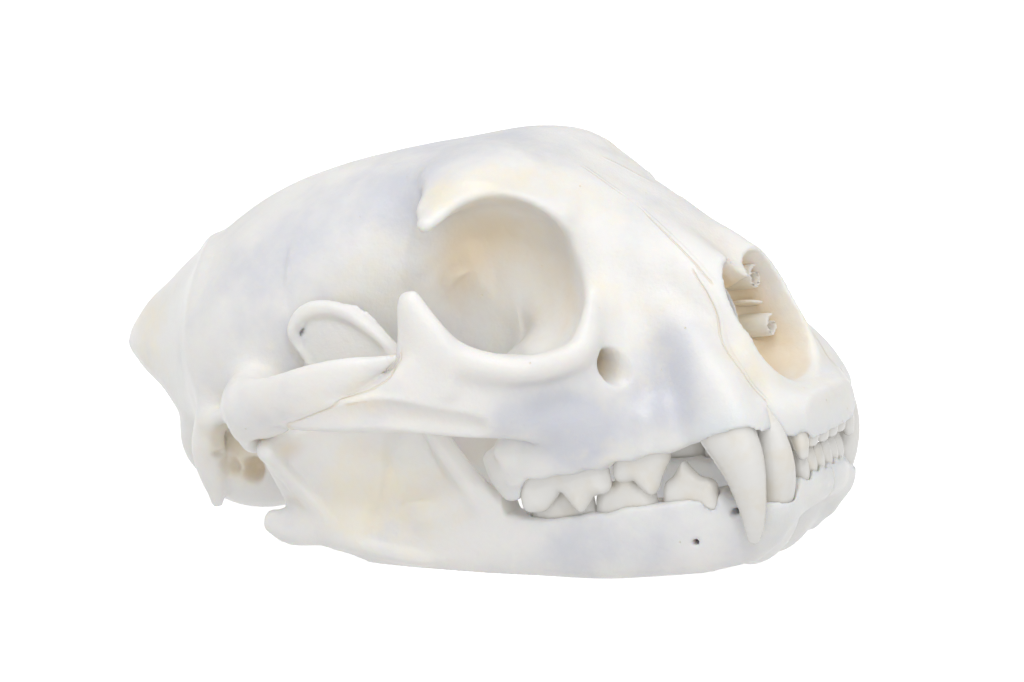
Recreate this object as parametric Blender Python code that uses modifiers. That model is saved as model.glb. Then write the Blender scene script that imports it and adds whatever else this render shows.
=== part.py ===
"""Skull of a bay lynx (Lynx rufus): cranium, the two halves of the lower jaw, and 28 teeth.

Shapes are given in the skull's own frame, in millimetres: lateral is the distance from the plane of
symmetry, back is the distance behind the front of the upper jaw, and up is the height above the gum
line of the upper teeth. The finished skull stands on its lower jaw with its nose towards -Y.
"""

import math

import bmesh
import bpy
import numpy as np
from mathutils import Matrix, Vector

# Placing
MM = 0.001
NOSE_UP = math.radians(11.1)  # the gum line slopes up towards the nose when the jaw rests on a table
GUM_LINE_HEIGHT = 26.1  # gum line above the table at the front of the upper jaw
MIDDLE_OF_LENGTH = 62.4  # from the front of the upper jaw back to the object's middle
RIGHT, LEFT = -1, 1  # the animal's right side is at -X
BOTH = (RIGHT, LEFT)
ROUND = (75, 40)  # latitudes, in degrees, of the rings that round off the end of a tube
BLUNT = (45,)
FLAT = ()

# Making
BONE_VOXEL = 0.9
DENTARY_VOXEL = 0.7
TOOTH_VOXEL = 0.3
BRAINCASE_WALL = 2.8
GAP = 0.45  # between a tooth and its socket, and in the jaw joint
CRANIUM_SHARE = 0.028  # of the remeshed faces that are kept
DENTARY_SHARE = 0.032
CHEEK_TOOTH_SHARE = 0.02

# Directions in the skull's frame
UP = (0, 0, 1)
BACK = (0, 1, 0)


def clear_scene():
    for thing in list(bpy.data.objects):
        bpy.data.objects.remove(thing, do_unlink=True)


def to_world(points, side=RIGHT):
    """Skull-frame millimetres to metres in the world: turned nose up about the gum line, and lifted."""
    lateral, back, up = np.asarray(points, float).T
    cosine, sine = math.cos(NOSE_UP), math.sin(NOSE_UP)
    along = back * cosine + up * sine - MIDDLE_OF_LENGTH
    height = up * cosine - back * sine + GUM_LINE_HEIGHT
    return np.stack([side * lateral, along, height], axis=1) * MM


def smooth(rows, at, wanted):
    """Rows of values known at the places 'at', read at the places 'wanted' from a cubic through them."""
    rows, at = np.asarray(rows, float), np.asarray(at, float)
    slopes = np.gradient(rows, at, axis=0)
    before, after = np.diff(rows, axis=0)[:-1], np.diff(rows, axis=0)[1:]
    slopes[1:-1] *= np.where(before * after <= 0, 0.25, 1.0)
    i = np.clip(np.searchsorted(at, wanted, side="right") - 1, 0, len(at) - 2)
    span = (at[i + 1] - at[i])[:, None]
    t = (wanted - at[i])[:, None] / span
    return (
        (2 * t**3 - 3 * t**2 + 1) * rows[i]
        + (t**3 - 2 * t**2 + t) * span * slopes[i]
        + (3 * t**2 - 2 * t**3) * rows[i + 1]
        + (t**3 - t**2) * span * slopes[i + 1]
    )


def add_rings(mesh, rings, side):
    """Joins closed rings of points into one skin with a flat cap at each end."""
    loops = [[mesh.verts.new(point) for point in to_world(ring, side)] for ring in rings]
    count = len(loops[0])
    for near, far in zip(loops, loops[1:]):
        for i in range(count):
            j = (i + 1) % count
            mesh.faces.new((near[i], near[j], far[j], far[i]))
    mesh.faces.new(loops[0][::-1])
    mesh.faces.new(loops[-1])


def add_loft(mesh, stations, length_steps=70, ring_steps=56):
    """A skin through half outlines: (back, [(lateral, up), ...] from the top middle to the bottom middle)."""
    back = np.array([station[0] for station in stations], float)
    outlines = np.array([station[1] for station in stations], float)
    wanted = np.linspace(back[0], back[-1], length_steps)
    flat = smooth(outlines.reshape(len(back), -1), back, wanted)
    rings = []
    for y, row in zip(wanted, flat):
        half = row.reshape(-1, 2)
        whole = np.vstack([half, half[-2:0:-1] * [-1, 1]])
        around = np.vstack([whole[-3:], whole, whole[:4]])
        spots = np.arange(len(around)) - 3.0
        ring = smooth(around, spots, np.arange(ring_steps) * len(whole) / ring_steps)
        rings.append(np.column_stack([ring[:, 0], np.full(ring_steps, y), ring[:, 1]]))
    add_rings(mesh, rings, RIGHT)


def add_sweep(mesh, path, tall=UP, steps=24, corners=16, sides=BOTH, extra=0.0, ends=ROUND):
    """An oval tube. Path rows are lateral, back, up, half width, and half height along 'tall'."""
    path = np.array(path, float)
    path[:, 3:5] += extra
    chords = np.linalg.norm(np.diff(path[:, :3], axis=0), axis=1) ** 0.7
    at = np.concatenate([[0], np.cumsum(chords)])
    line = smooth(path, at, np.linspace(0, at[-1], steps))
    run = np.gradient(line[:, :3], axis=0)
    run /= np.linalg.norm(run, axis=1)[:, None]
    high = np.array(tall, float) - run * (run @ np.array(tall, float))[:, None]
    high /= np.linalg.norm(high, axis=1)[:, None]
    wide = np.cross(run, high)
    turn = np.linspace(0, 2 * math.pi, corners, endpoint=False)
    places = [(0, -math.sin(a), math.cos(a)) for a in np.radians(ends)]
    places += [(i, 0.0, 1.0) for i in range(steps)]
    places += [(steps - 1, math.sin(a), math.cos(a)) for a in np.radians(ends[::-1])]
    rings = []
    for i, beyond, scale in places:
        centre = line[i, :3] + run[i] * beyond * min(line[i, 3:5])
        across = np.cos(turn)[:, None] * wide[i] * line[i, 3] * scale
        upward = np.sin(turn)[:, None] * high[i] * line[i, 4] * scale
        rings.append(centre + across + upward)
    for side in sides:
        add_rings(mesh, rings, side)


def add_ball(mesh, centre, radii, tilt=(0, 0, 0), sides=BOTH):
    """An ellipsoid, turned by 'tilt' in degrees about the lateral, back and up directions."""
    for side in sides:
        made = bmesh.ops.create_uvsphere(mesh, u_segments=32, v_segments=20, radius=1.0)["verts"]
        turn = Matrix.Identity(3)
        for angle, axis in zip(tilt, "XYZ"):
            turn = Matrix.Rotation(math.radians(angle), 3, axis) @ turn
        local = [turn @ Vector([c * r for c, r in zip(vert.co, radii)]) + Vector(centre) for vert in made]
        for vert, point in zip(made, to_world(local, side)):
            vert.co = point


def add_object(name, mesh, collection, material=None):
    """Finishes a bmesh as an object whose faces point outwards."""
    bmesh.ops.recalc_face_normals(mesh, faces=mesh.faces)
    data = bpy.data.meshes.new(name)
    mesh.to_mesh(data)
    mesh.free()
    thing = bpy.data.objects.new(name, data)
    collection.objects.link(thing)
    if material:
        data.materials.append(material)
        data.shade_smooth()
    else:
        thing.hide_render = True
        thing.display_type = "WIRE"
    return thing


def add_remesh(thing, voxel, name):
    remesh = thing.modifiers.new(name, "REMESH")
    remesh.mode = "VOXEL"
    remesh.voxel_size = voxel * MM
    remesh.use_smooth_shade = True


def add_smooth(thing, times, name):
    blend = thing.modifiers.new(name, "SMOOTH")
    blend.factor = 0.5
    blend.iterations = times


def add_cut(thing, cutter, name):
    cut = thing.modifiers.new(name, "BOOLEAN")
    cut.operation = "DIFFERENCE"
    cut.solver = "EXACT"
    cut.use_self = True
    cut.object = cutter


def add_decimate(thing, share, name):
    fewer = thing.modifiers.new(name, "DECIMATE")
    fewer.ratio = share


def new_collection(name):
    made = bpy.data.collections.new(name)
    bpy.context.scene.collection.children.link(made)
    return made


def new_material(name, colour, roughness):
    made = bpy.data.materials.new(name)
    made.use_nodes = True
    shader = made.node_tree.nodes["Principled BSDF"]
    shader.inputs["Base Color"].default_value = (*colour, 1.0)
    shader.inputs["Roughness"].default_value = roughness
    shader.inputs["Metallic"].default_value = 0.0
    made.diffuse_color = (*colour, 1.0)
    return made


clear_scene()
PARTS = new_collection("bay_lynx_skull")
HELPERS = new_collection("cutters")
BONE = new_material("bleached_bone", (0.86, 0.84, 0.79), 0.42)
ENAMEL = new_material("tooth_enamel", (0.88, 0.87, 0.83), 0.25)

# Teeth
# Columns of one side, from the root to the tip: lateral, back, up, half width, half length.
SINGLE_TEETH = {
    "upper_incisor_1": [(1.5, 2.4, 1.6, 0.8, 1.2), (1.5, 0.9, -0.6, 1.1, 1.4), (1.5, 0.3, -2.6, 1.1, 0.9),
                        (1.5, 0.5, -3.5, 0.8, 0.5)],
    "upper_incisor_2": [(4.3, 2.8, 1.6, 0.9, 1.3), (4.4, 1.3, -0.6, 1.25, 1.5), (4.4, 0.6, -3, 1.2, 1.1),
                        (4.4, 0.9, -4.2, 0.8, 0.5)],
    "upper_incisor_3": [(7.6, 4.4, 1.6, 1.2, 1.6), (7.8, 3, -0.6, 1.6, 2), (7.9, 2.1, -3.6, 1.4, 1.5),
                        (7.9, 2.6, -6.4, 0.5, 0.5)],
    "upper_canine": [(14.8, 12.4, 4.6, 2.4, 3.2), (15.9, 9.6, 0.4, 3.1, 4.4), (15.5, 8.1, -4, 2.7, 3.6),
                     (15.1, 7.5, -8.5, 2.1, 2.7), (14.75, 7.8, -13, 1.3, 1.7), (14.5, 8.6, -16.4, 0.35, 0.4)],
    "upper_molar_1": [(20, 43.4, 1.6, 1.6, 0.8), (20, 43.2, -0.4, 2.1, 0.9), (20, 43.2, -1.6, 1.6, 0.6)],
    "lower_incisor_1": [(1.2, 7, -11, 0.7, 1.1), (1.2, 5.4, -8.8, 0.8, 1.1), (1.2, 4.5, -6.6, 0.8, 0.7),
                        (1.2, 4.5, -5.6, 0.5, 0.4)],
    "lower_incisor_2": [(3.2, 7.1, -11, 0.7, 1.2), (3.25, 5.5, -8.8, 0.9, 1.2), (3.3, 4.5, -6.2, 0.9, 0.8),
                        (3.3, 4.5, -5, 0.6, 0.4)],
    "lower_incisor_3": [(5.2, 7.2, -11, 0.7, 1.2), (5.3, 5.6, -8.8, 0.9, 1.3), (5.4, 4.6, -5.8, 0.9, 0.9),
                        (5.4, 4.6, -4.4, 0.6, 0.4)],
    "lower_canine": [(8.9, 9, -14.4, 2, 2.8), (9.5, 5.8, -9.6, 2.3, 3.3), (10.6, 4.6, -5.2, 2.1, 2.8),
                     (11.4, 4.3, -0.8, 1.5, 1.9), (12, 4.8, 3.2, 0.4, 0.5)],
}
# A cheek tooth has a direction along the row, one column for its roots and neck, and its cusps.
CHEEK_TEETH = {
    "upper_premolar_3": ((0.2, 1, 0), [(18.7, 23.6, 2.2, 1.4, 2.9), (18.7, 23.6, -2.2, 1.6, 3.6)], [
        [(18.5, 23, -1.4, 1.7, 2.4), (18.4, 23, -4.4, 1.3, 1.8), (18.4, 23.2, -7, 0.3, 0.4)],
        [(19.1, 26, -1.2, 1.3, 1.2), (19.1, 25.8, -3.4, 1, 1), (19.1, 25.8, -5, 0.4, 0.4)],
    ]),
    "upper_premolar_4": ((0.3, 1, 0), [(22, 34.4, 1.6, 1.6, 5.4), (22, 34.3, -3.2, 1.8, 6.3)], [
        [(21.9, 32.6, -2.4, 1.7, 2.8), (21.9, 32.8, -5.6, 1.3, 1.9), (22, 33, -8.6, 0.3, 0.4)],
        [(20.5, 29.2, -2, 1.2, 1.2), (20.4, 29, -5.4, 0.4, 0.4)],
        [(23.5, 37.6, -2.2, 1.3, 3), (23.9, 38.2, -5.2, 0.9, 2.6), (24.1, 39, -7.4, 0.3, 1.5)],
    ]),
    "lower_premolar_3": ((0.1, 1, 0), [(15.3, 18, -12, 1.1, 2.6), (15.3, 17.9, -8, 1.3, 3.4)], [
        [(15.3, 18, -9, 1.3, 2.4), (15.2, 18, -6.4, 1, 1.5), (15.2, 18.2, -3.8, 0.3, 0.4)],
        [(15, 15.2, -9, 0.8, 0.8), (15, 15.2, -7, 0.4, 0.5)],
        [(15.6, 20.5, -9, 0.8, 0.8), (15.6, 20.5, -6.6, 0.4, 0.5)],
    ]),
    "lower_premolar_4": ((0.2, 1, 0), [(17.2, 27.2, -12, 1.2, 3.2), (17.1, 27.1, -7.4, 1.4, 4.1)], [
        [(17.1, 27, -9, 1.4, 2.8), (17, 27, -5.4, 1.1, 1.7), (17, 27, -2.6, 0.3, 0.4)],
        [(16.6, 24, -9, 0.9, 0.9), (16.6, 24, -5.8, 0.4, 0.5)],
        [(17.6, 30.3, -9, 0.9, 0.9), (17.5, 30.3, -5.4, 0.4, 0.5)],
    ]),
    "lower_molar_1": ((0.2, 1, 0), [(19.2, 37.3, -11.4, 1.2, 3.8), (19.1, 37.2, -6.8, 1.4, 4.6)], [
        [(18.6, 35.2, -8, 1.3, 2.3), (18.1, 34.6, -3, 0.3, 0.9)],
        [(19.8, 39.5, -7, 1.3, 2.3), (19.5, 40, -1.8, 0.3, 0.9)],
    ]),
}
ALL_TEETH = list(SINGLE_TEETH) + list(CHEEK_TEETH)
UPPER_TEETH = [name for name in ALL_TEETH if name.startswith("upper")]
LOWER_TEETH = [name for name in ALL_TEETH if name.startswith("lower")]


def side_name(side):
    return "right" if side == RIGHT else "left"


def add_socket(mesh, name, side):
    """The root of a tooth grown by the gap all round. A canine is grown whole, for the notch beside it."""
    if name in CHEEK_TEETH:
        direction, column = CHEEK_TEETH[name][:2]
        add_sweep(mesh, column, direction, 2, 12, (side,), GAP, BLUNT)
    elif "canine" in name:
        add_sweep(mesh, SINGLE_TEETH[name], BACK, 7, 8, (side,), GAP, BLUNT)
    else:
        add_sweep(mesh, SINGLE_TEETH[name][:3], BACK, 3, 8, (side,), GAP, BLUNT)


for side in BOTH:
    for name, column in SINGLE_TEETH.items():
        mesh = bmesh.new()
        canine = "canine" in name
        add_sweep(mesh, column, BACK, 7 if canine else 4, 9 if canine else 6, (side,), ends=BLUNT)
        add_object(f"{name}_{side_name(side)}", mesh, PARTS, ENAMEL)
    for name, (direction, neck, cusps) in CHEEK_TEETH.items():
        mesh = bmesh.new()
        add_sweep(mesh, neck, direction, sides=(side,), ends=FLAT)
        for cusp in cusps:
            add_sweep(mesh, cusp, direction, sides=(side,))
        tooth = add_object(f"{name}_{side_name(side)}", mesh, PARTS, ENAMEL)
        add_remesh(tooth, TOOTH_VOXEL, "join_cusps")
        add_smooth(tooth, 2, "blend_cusps")
        add_decimate(tooth, CHEEK_TOOTH_SHARE, "facets")

# Cranium
# Half outlines of the face and braincase, from the front of the upper jaw to the back of the head.
# Each holds points from the top middle round to the bottom middle: lateral, up.
VAULT = [
    (0.6, [(0, 3), (3, 3), (5.5, 2.6), (7, 1.4), (7.2, 0.2), (5.5, -0.5), (3, -0.7), (0, -0.7)]),
    (3, [(0, 4.4), (4, 4.4), (7.4, 4), (8.8, 2.6), (9, 0.4), (7.5, -0.8), (4, -1), (0, -1)]),
    (5, [(0, 8), (4, 9), (7.8, 8.6), (9.8, 6.6), (10.4, 3.2), (10.2, 0.3), (7, -0.6), (0, -0.8)]),
    (7, [(0, 15), (4.2, 16.5), (8, 14.5), (10.6, 10), (14.3, 4.5), (14.6, 0.5), (8.5, -0.5), (0, -0.4)]),
    (9.3, [(0, 19.8), (4.6, 22.4), (8.3, 18.8), (10.8, 12.5), (15.5, 6), (17, 0.6), (9.5, -0.4), (0, 0)]),
    (13, [(0, 24.2), (4.8, 26), (8.8, 22.8), (12, 16), (16, 8.5), (18, 0.6), (11, 0), (0, 1)]),
    (18, [(0, 29.2), (4.5, 29.7), (8.9, 26.6), (12.6, 19), (16, 9.5), (17, 0.6), (12, 0.3), (0, 2)]),
    (23, [(0, 33.4), (5, 33.4), (10, 30.2), (14.3, 21.5), (18.6, 11.5), (18.8, 0.2), (13, 0.3), (0, 2.5)]),
    (28, [(0, 36.8), (6, 36.6), (11.8, 33.3), (16.3, 24.5), (23, 12.5), (21.7, -0.4), (15, 0.3), (0, 2.8)]),
    (33, [(0, 40.2), (7, 39.9), (13, 36), (15, 27), (24, 12), (24.2, -1.3), (17, 0.3), (0, 3)]),
    (38, [(0, 42.9), (8, 42.5), (14.8, 38.6), (12.5, 29), (18, 11), (25.2, -1.8), (18.5, 0.5), (0, 3.2)]),
    (43, [(0, 44.8), (9, 44.4), (16.6, 40.6), (12, 30), (12.5, 13), (23.5, 0), (19, 0.8), (0, 3.5)]),
    (47, [(0, 45.7), (9.5, 45.3), (17.2, 41.4), (12, 30), (11, 14), (12, 4), (9, 1.5), (0, 6)]),
    (52, [(0, 46), (9.5, 45.6), (17, 41.5), (13, 31), (10.5, 16), (9.5, 6), (8, 2.5), (0, 7)]),
    (57, [(0, 46), (8.5, 45.2), (15.5, 40.6), (16, 31), (12, 17), (9, 7.5), (7.5, 3), (0, 7)]),
    (63, [(0, 45.8), (8, 44.8), (16.5, 40.4), (20.3, 31), (17, 18), (9.5, 8), (7, 3.5), (0, 6.5)]),
    (70, [(0, 45.2), (8, 44.2), (18, 39.6), (24.2, 30), (23.3, 18), (13, 8), (7.5, 4.5), (0, 5.5)]),
    (78, [(0, 44.2), (8, 43.2), (18.8, 38.3), (26.2, 28.5), (26.5, 18), (18, 8), (8, 4.5), (0, 4.5)]),
    (86, [(0, 42.4), (8, 41.4), (18.5, 36.6), (26.5, 27), (27, 17.5), (21, 8), (8, 4), (0, 3.8)]),
    (93, [(0, 39.6), (8, 38.6), (17.5, 34), (25, 25), (25.6, 16.5), (21, 7.5), (8, 3.5), (0, 3.5)]),
    (98, [(0, 37.2), (8, 36), (16, 31.5), (22, 24), (22.8, 15.5), (19, 6.5), (7.5, 3.3), (0, 3.3)]),
    (103, [(0, 35), (6.5, 33.4), (12.2, 29), (16, 22.5), (17, 14), (14, 5.5), (7, 3.3), (0, 3.3)]),
    (108, [(0, 32.4), (5, 30.9), (9.2, 27), (12.2, 21), (13, 13.5), (10.5, 6), (6, 4), (0, 4)]),
    (113, [(0, 29.2), (4, 27.8), (7.2, 24.6), (9.6, 20), (9.8, 15), (8, 12), (5, 11), (0, 10.5)]),
    (118, [(0, 26), (3, 25), (5.2, 22.6), (6.6, 19.6), (6.5, 17), (5.3, 15.2), (3, 14.4), (0, 14.2)]),
    (121.6, [(0, 22.8), (1.8, 22.2), (3, 21.2), (3.8, 20), (3.7, 18.8), (3, 17.8), (1.8, 17.1), (0, 17)]),
]
CONDYLE = [(23.6, 76.8, 6, 2, 2), (27, 76.7, 6.7, 2.6, 2.7), (33, 76.4, 7, 2.6, 2.7), (36.8, 76.2, 6.8, 1.7, 1.9)]

mesh = bmesh.new()
add_loft(mesh, VAULT)
# Frontal: the shelf over the orbit, its rim, and the postorbital process.
add_sweep(mesh, [(9, 44, 41.6, 6.5, 2.6), (17, 46.8, 40.6, 5.6, 2.4), (24, 48.4, 38.2, 3.4, 1.6),
                 (29.2, 48.9, 36.2, 1.2, 0.8)], tall=(0.3, 0, 1))
add_sweep(mesh, [(13, 33.5, 34.4, 2.6, 2.4), (15.8, 37.6, 37, 3, 2.1), (20, 42, 38.1, 3, 1.7),
                 (24.8, 45.6, 37.6, 2.5, 1.3), (29.3, 48.4, 36.1, 1.3, 0.8)], tall=(0.25, -0.25, 1))
# Jugal: the plate under the orbit, running back as the lower bar of the arch.
add_sweep(mesh, [(20, 28.5, 7, 3.5, 6), (24.5, 32.5, 9.2, 3, 6.9), (29.5, 37, 10.9, 2.6, 6.4),
                 (34, 42.5, 12.2, 2.3, 6), (37.4, 47.6, 13.4, 2.1, 5.6), (39.3, 52, 13, 2, 4.4),
                 (40.9, 58, 12.3, 1.9, 2.9), (41.3, 63, 12, 1.7, 2), (41.2, 68, 11.7, 1.3, 1.1)], steps=36)
add_sweep(mesh, [(37, 46.4, 17, 1.9, 4.2), (36.7, 47.6, 21.2, 1.6, 2.9), (35.9, 48.6, 25.5, 1.3, 1.7),
                 (34.9, 49.3, 29.3, 0.8, 0.8)], tall=BACK)
# Squamosal: the root of the arch, and its process lying on the jugal.
add_sweep(mesh, [(37.2, 78.4, 14, 3.2, 3.6), (32.5, 81.5, 14.2, 3.4, 3.6), (25, 84.5, 15, 3, 3.4)])
add_sweep(mesh, [(37.2, 78.6, 14.2, 2.6, 3.9), (39.6, 73, 14.6, 2.3, 3.8), (41.2, 67.5, 15.5, 2, 3.8),
                 (41.7, 61.5, 17, 1.9, 3.6), (41, 56, 18.2, 1.8, 2.5), (39.6, 51.2, 18.9, 1.6, 1.4)])
# Jaw joint: the roof of the socket and the lip behind it.
add_sweep(mesh, [(37, 78, 13, 3, 3), (31, 80.5, 12.5, 3.6, 3.2), (23, 82.5, 12, 3.5, 3.5)])
add_sweep(mesh, [(36.6, 79.8, 11, 1.6, 3), (34.5, 80.6, 8.8, 1.5, 2.4), (29, 81.4, 8, 1.4, 2.4),
                 (24, 82, 8.4, 1.4, 2.4)])
# Ear bulla, mastoid and paroccipital process.
add_ball(mesh, (14.2, 91.5, 1.8), (7.6, 12, 8.2), tilt=(0, 0, -12))
add_sweep(mesh, [(25.6, 90, 14, 2, 2.5), (25.4, 94.5, 9, 2.4, 2.6), (23.5, 98, 5.5, 2.2, 2.4),
                 (22, 98.8, 1.5, 1.7, 1.9), (21.3, 98.2, -3.6, 1, 1.2)], tall=BACK)
# Crest over the back of the head, from the middle down to the mastoid.
add_sweep(mesh, [(0, 121.2, 21.2, 1.5, 2), (3, 118, 24.6, 1.2, 2), (7, 110.5, 29, 1.1, 2),
                 (11.6, 103.2, 31.8, 1, 2), (16.8, 98.2, 30, 1, 1.9), (21, 96.5, 24.8, 1, 1.8),
                 (23.8, 95.8, 18, 1, 1.8), (24.8, 95, 11, 1.3, 1.8)], tall=(0.6, 0.1, 1), steps=36)
# Occipital condyle, pterygoid plate and the swelling over the canine root.
add_ball(mesh, (8.6, 106.6, 3.4), (3.9, 3.9, 6.2), tilt=(0, 20, 0))
add_sweep(mesh, [(9.5, 46, 5, 1.4, 5), (8.6, 52, 5.5, 1.3, 5.5), (8, 58, 5, 1.2, 5), (7.6, 63, 3.2, 1.1, 3.6),
                 (7.4, 66.5, 0, 1, 1.4)])
add_sweep(mesh, [(14, 9.9, 0.6, 3.6, 4.4), (13.6, 11.7, 6.5, 3.2, 4.2), (12.4, 15.5, 13, 2.7, 3.6),
                 (10.6, 19.5, 18.5, 2, 2.4)], tall=BACK)
# Temporal line.
add_sweep(mesh, [(29, 49.2, 36.3, 1, 0.7), (22, 51.4, 40.2, 1.2, 1.1), (13.5, 56, 42.8, 1.3, 1.2),
                 (8.8, 65, 44, 1.2, 1.1), (6.4, 76, 43.4, 1.1, 1), (6.4, 86, 41, 1, 1), (8.8, 94, 37, 1, 1),
                 (13, 99, 32.8, 1, 1)], steps=36)
cranium = add_object("cranium", mesh, PARTS, BONE)

mesh = bmesh.new()
# Orbit, nasal cavity, infraorbital canal, ear opening and the throat behind the palate.
add_ball(mesh, (25.5, 40, 27.2), (12.8, 11.2, 11.6))
add_sweep(mesh, [(0, 3, 12.6, 8.2, 7.8), (0, 9, 13.4, 8.1, 8.6), (0, 18, 16, 7.5, 9), (0, 28, 18, 6, 8)],
          corners=32, sides=(RIGHT,))
add_sweep(mesh, [(20.6, 20, 12, 2.2, 3.1), (20.2, 25, 12.4, 2, 2.8), (19.6, 29, 13, 1.8, 2.3),
                 (18.4, 34, 15, 1.8, 2.3)])
add_sweep(mesh, [(27, 89.5, 4.6, 2.6, 2.6), (22, 89.6, 4.4, 2.3, 2.3), (16, 89.6, 3.6, 2, 2)])
add_ball(mesh, (0, 56, 3), (6.4, 11.5, 6.5), sides=(RIGHT,))
# Braincase, a wall's thickness inside the vault, and the opening for the spinal cord.
inside = []
for back, outline in VAULT:
    if 57 <= back <= 108:
        centre = np.array([0, (outline[0][1] + outline[-1][1]) / 2])
        reach = np.array(outline, float) - centre
        inside.append((back, centre + reach * (1 - BRAINCASE_WALL / np.linalg.norm(reach, axis=1))[:, None]))
add_loft(mesh, inside)
add_sweep(mesh, [(0, 92, 15, 6, 5), (0, 100, 12.4, 7, 5.6), (0, 110, 9.4, 7, 5.4), (0, 120, 7, 7, 5.6)],
          corners=32, sides=(RIGHT,))
# Socket of the jaw joint.
add_sweep(mesh, CONDYLE, extra=GAP + 0.15)
hollows = add_object("cranium_hollows", mesh, HELPERS)
add_remesh(hollows, BONE_VOXEL, "join_hollows")

mesh = bmesh.new()
for side in BOTH:
    for name in UPPER_TEETH + ["lower_canine"]:
        add_socket(mesh, name, side)
upper_sockets = add_object("upper_sockets", mesh, HELPERS)

add_remesh(cranium, BONE_VOXEL, "join_bones")
add_smooth(cranium, 5, "blend_joins")
add_cut(cranium, hollows, "open_hollows")
add_remesh(cranium, BONE_VOXEL, "even_skin")
add_smooth(cranium, 2, "soften_rims")
add_decimate(cranium, CRANIUM_SHARE, "facets")
add_cut(cranium, upper_sockets, "tooth_sockets")

# Lower jaw
TABLE_DEPTH = 5  # how far the cutter that flattens the underside reaches below the table
table = bmesh.new()
bmesh.ops.create_cube(table, size=1.0)
bmesh.ops.scale(table, vec=(120 * MM, 160 * MM, TABLE_DEPTH * MM), verts=table.verts)
bmesh.ops.translate(table, vec=(0, 0, -TABLE_DEPTH / 2 * MM), verts=table.verts)
table_cutter = add_object("below_table", table, HELPERS)

OTHER_SIDE = 60  # width of the cutter that ends each half just short of the middle
HALF_GAP = 0.17

for side in BOTH:
    here = (side,)
    mesh = bmesh.new()
    bmesh.ops.create_cube(mesh, size=1.0)
    bmesh.ops.scale(mesh, vec=(OTHER_SIDE * MM, 160 * MM, 160 * MM), verts=mesh.verts)
    bmesh.ops.translate(mesh, vec=(side * (HALF_GAP - OTHER_SIDE / 2) * MM, 0, 0), verts=mesh.verts)
    beyond_middle = add_object(f"beyond_middle_{side_name(side)}", mesh, HELPERS)
    mesh = bmesh.new()
    # Body and chin.
    add_sweep(mesh, [(8, 10.4, -15.6, 3.3, 5.6), (10, 13.2, -15.8, 3.2, 5.7), (13.4, 18, -15, 3.3, 5.6),
                     (16, 25, -14.8, 3.3, 5.5), (18, 32, -14.2, 3.2, 5.7), (20, 40, -13.2, 3.1, 5.9),
                     (22.2, 48, -11.6, 2.9, 6.2), (24.4, 56, -9.2, 2.5, 7), (26.4, 64, -6.4, 2.1, 8),
                     (28, 71, -4.6, 1.9, 6.4)], sides=here, steps=36)
    add_ball(mesh, (3.4, 12.4, -15.8), (5.6, 8.6, 5.2), tilt=(-48, 0, 0), sides=here)
    add_sweep(mesh, [(9.2, 7.4, -12.2, 3, 3.9), (9.2, 10, -15.5, 3, 4.2)], sides=here)
    # Upright ramus with the coronoid process, and its thick front edge.
    add_sweep(mesh, [(25, 60, -8, 2, 11), (26, 62.5, 0, 1.5, 11.2), (26.8, 64.2, 8, 1.3, 10.6),
                     (27.2, 65.6, 15, 1.1, 9.6), (27.2, 67.6, 20.5, 1, 7.6), (27, 69.8, 24.2, 0.9, 5.2),
                     (26.8, 71, 26, 0.8, 2.6)], tall=BACK, sides=here)
    add_sweep(mesh, [(27.6, 58.5, 20, 1.1, 1.3), (27.6, 55.6, 13, 1.4, 1.6), (27, 53.2, 6.5, 1.6, 1.8),
                     (25.2, 49.8, 0, 1.8, 2.2), (22.4, 46.6, -6.6, 1.8, 2.2)], tall=BACK, sides=here)
    # Neck, condyle, the ridge under it, and the angle.
    add_sweep(mesh, [(27.6, 66, -4, 1.7, 6), (28.8, 70, -1, 1.8, 6.4), (30, 74, 3, 2, 4.6),
                     (30.4, 76, 6.2, 2.4, 2.6)], sides=here)
    add_sweep(mesh, CONDYLE, sides=here)
    add_sweep(mesh, [(36.4, 75.8, 5.4, 1, 1.6), (33.4, 75.6, 2, 1.2, 2.2), (31, 74.4, -2.2, 1.3, 2.6),
                     (29.4, 71.4, -6.2, 1.4, 2.4), (27.8, 66, -10, 1.4, 2), (26, 59, -13, 1.3, 1.6)],
              tall=(0, 1, 0.3), sides=here)
    add_sweep(mesh, [(27.6, 68, -7.4, 1.9, 3.2), (29.4, 74.5, -6.9, 2, 2.9), (30.8, 79, -6.4, 1.9, 2.6),
                     (31.2, 81.4, -5.2, 1.4, 1.9)], sides=here)
    jaw = add_object(f"jaw_{side_name(side)}", mesh, PARTS, BONE)

    mesh = bmesh.new()
    for name in LOWER_TEETH:
        add_socket(mesh, name, side)
    sockets = add_object(f"lower_sockets_{side_name(side)}", mesh, HELPERS)

    add_remesh(jaw, DENTARY_VOXEL, "join_bones")
    add_smooth(jaw, 4, "blend_joins")
    add_decimate(jaw, DENTARY_SHARE, "facets")
    add_cut(jaw, sockets, "tooth_sockets")
    add_cut(jaw, table_cutter, "underside")
    add_cut(jaw, beyond_middle, "middle")
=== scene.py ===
"""Skull of a bay lynx (Lynx rufus), dressed: the cranium, the two halves of the lower jaw and the teeth.

Shapes are worked out in the skull's own frame, in millimetres: lateral is the distance from the plane of
symmetry, back is the distance behind the front of the upper jaw, and up is the height above the gum line
of the upper teeth. The skull stands on its lower jaw with its nose towards -Y.
"""

import math

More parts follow.
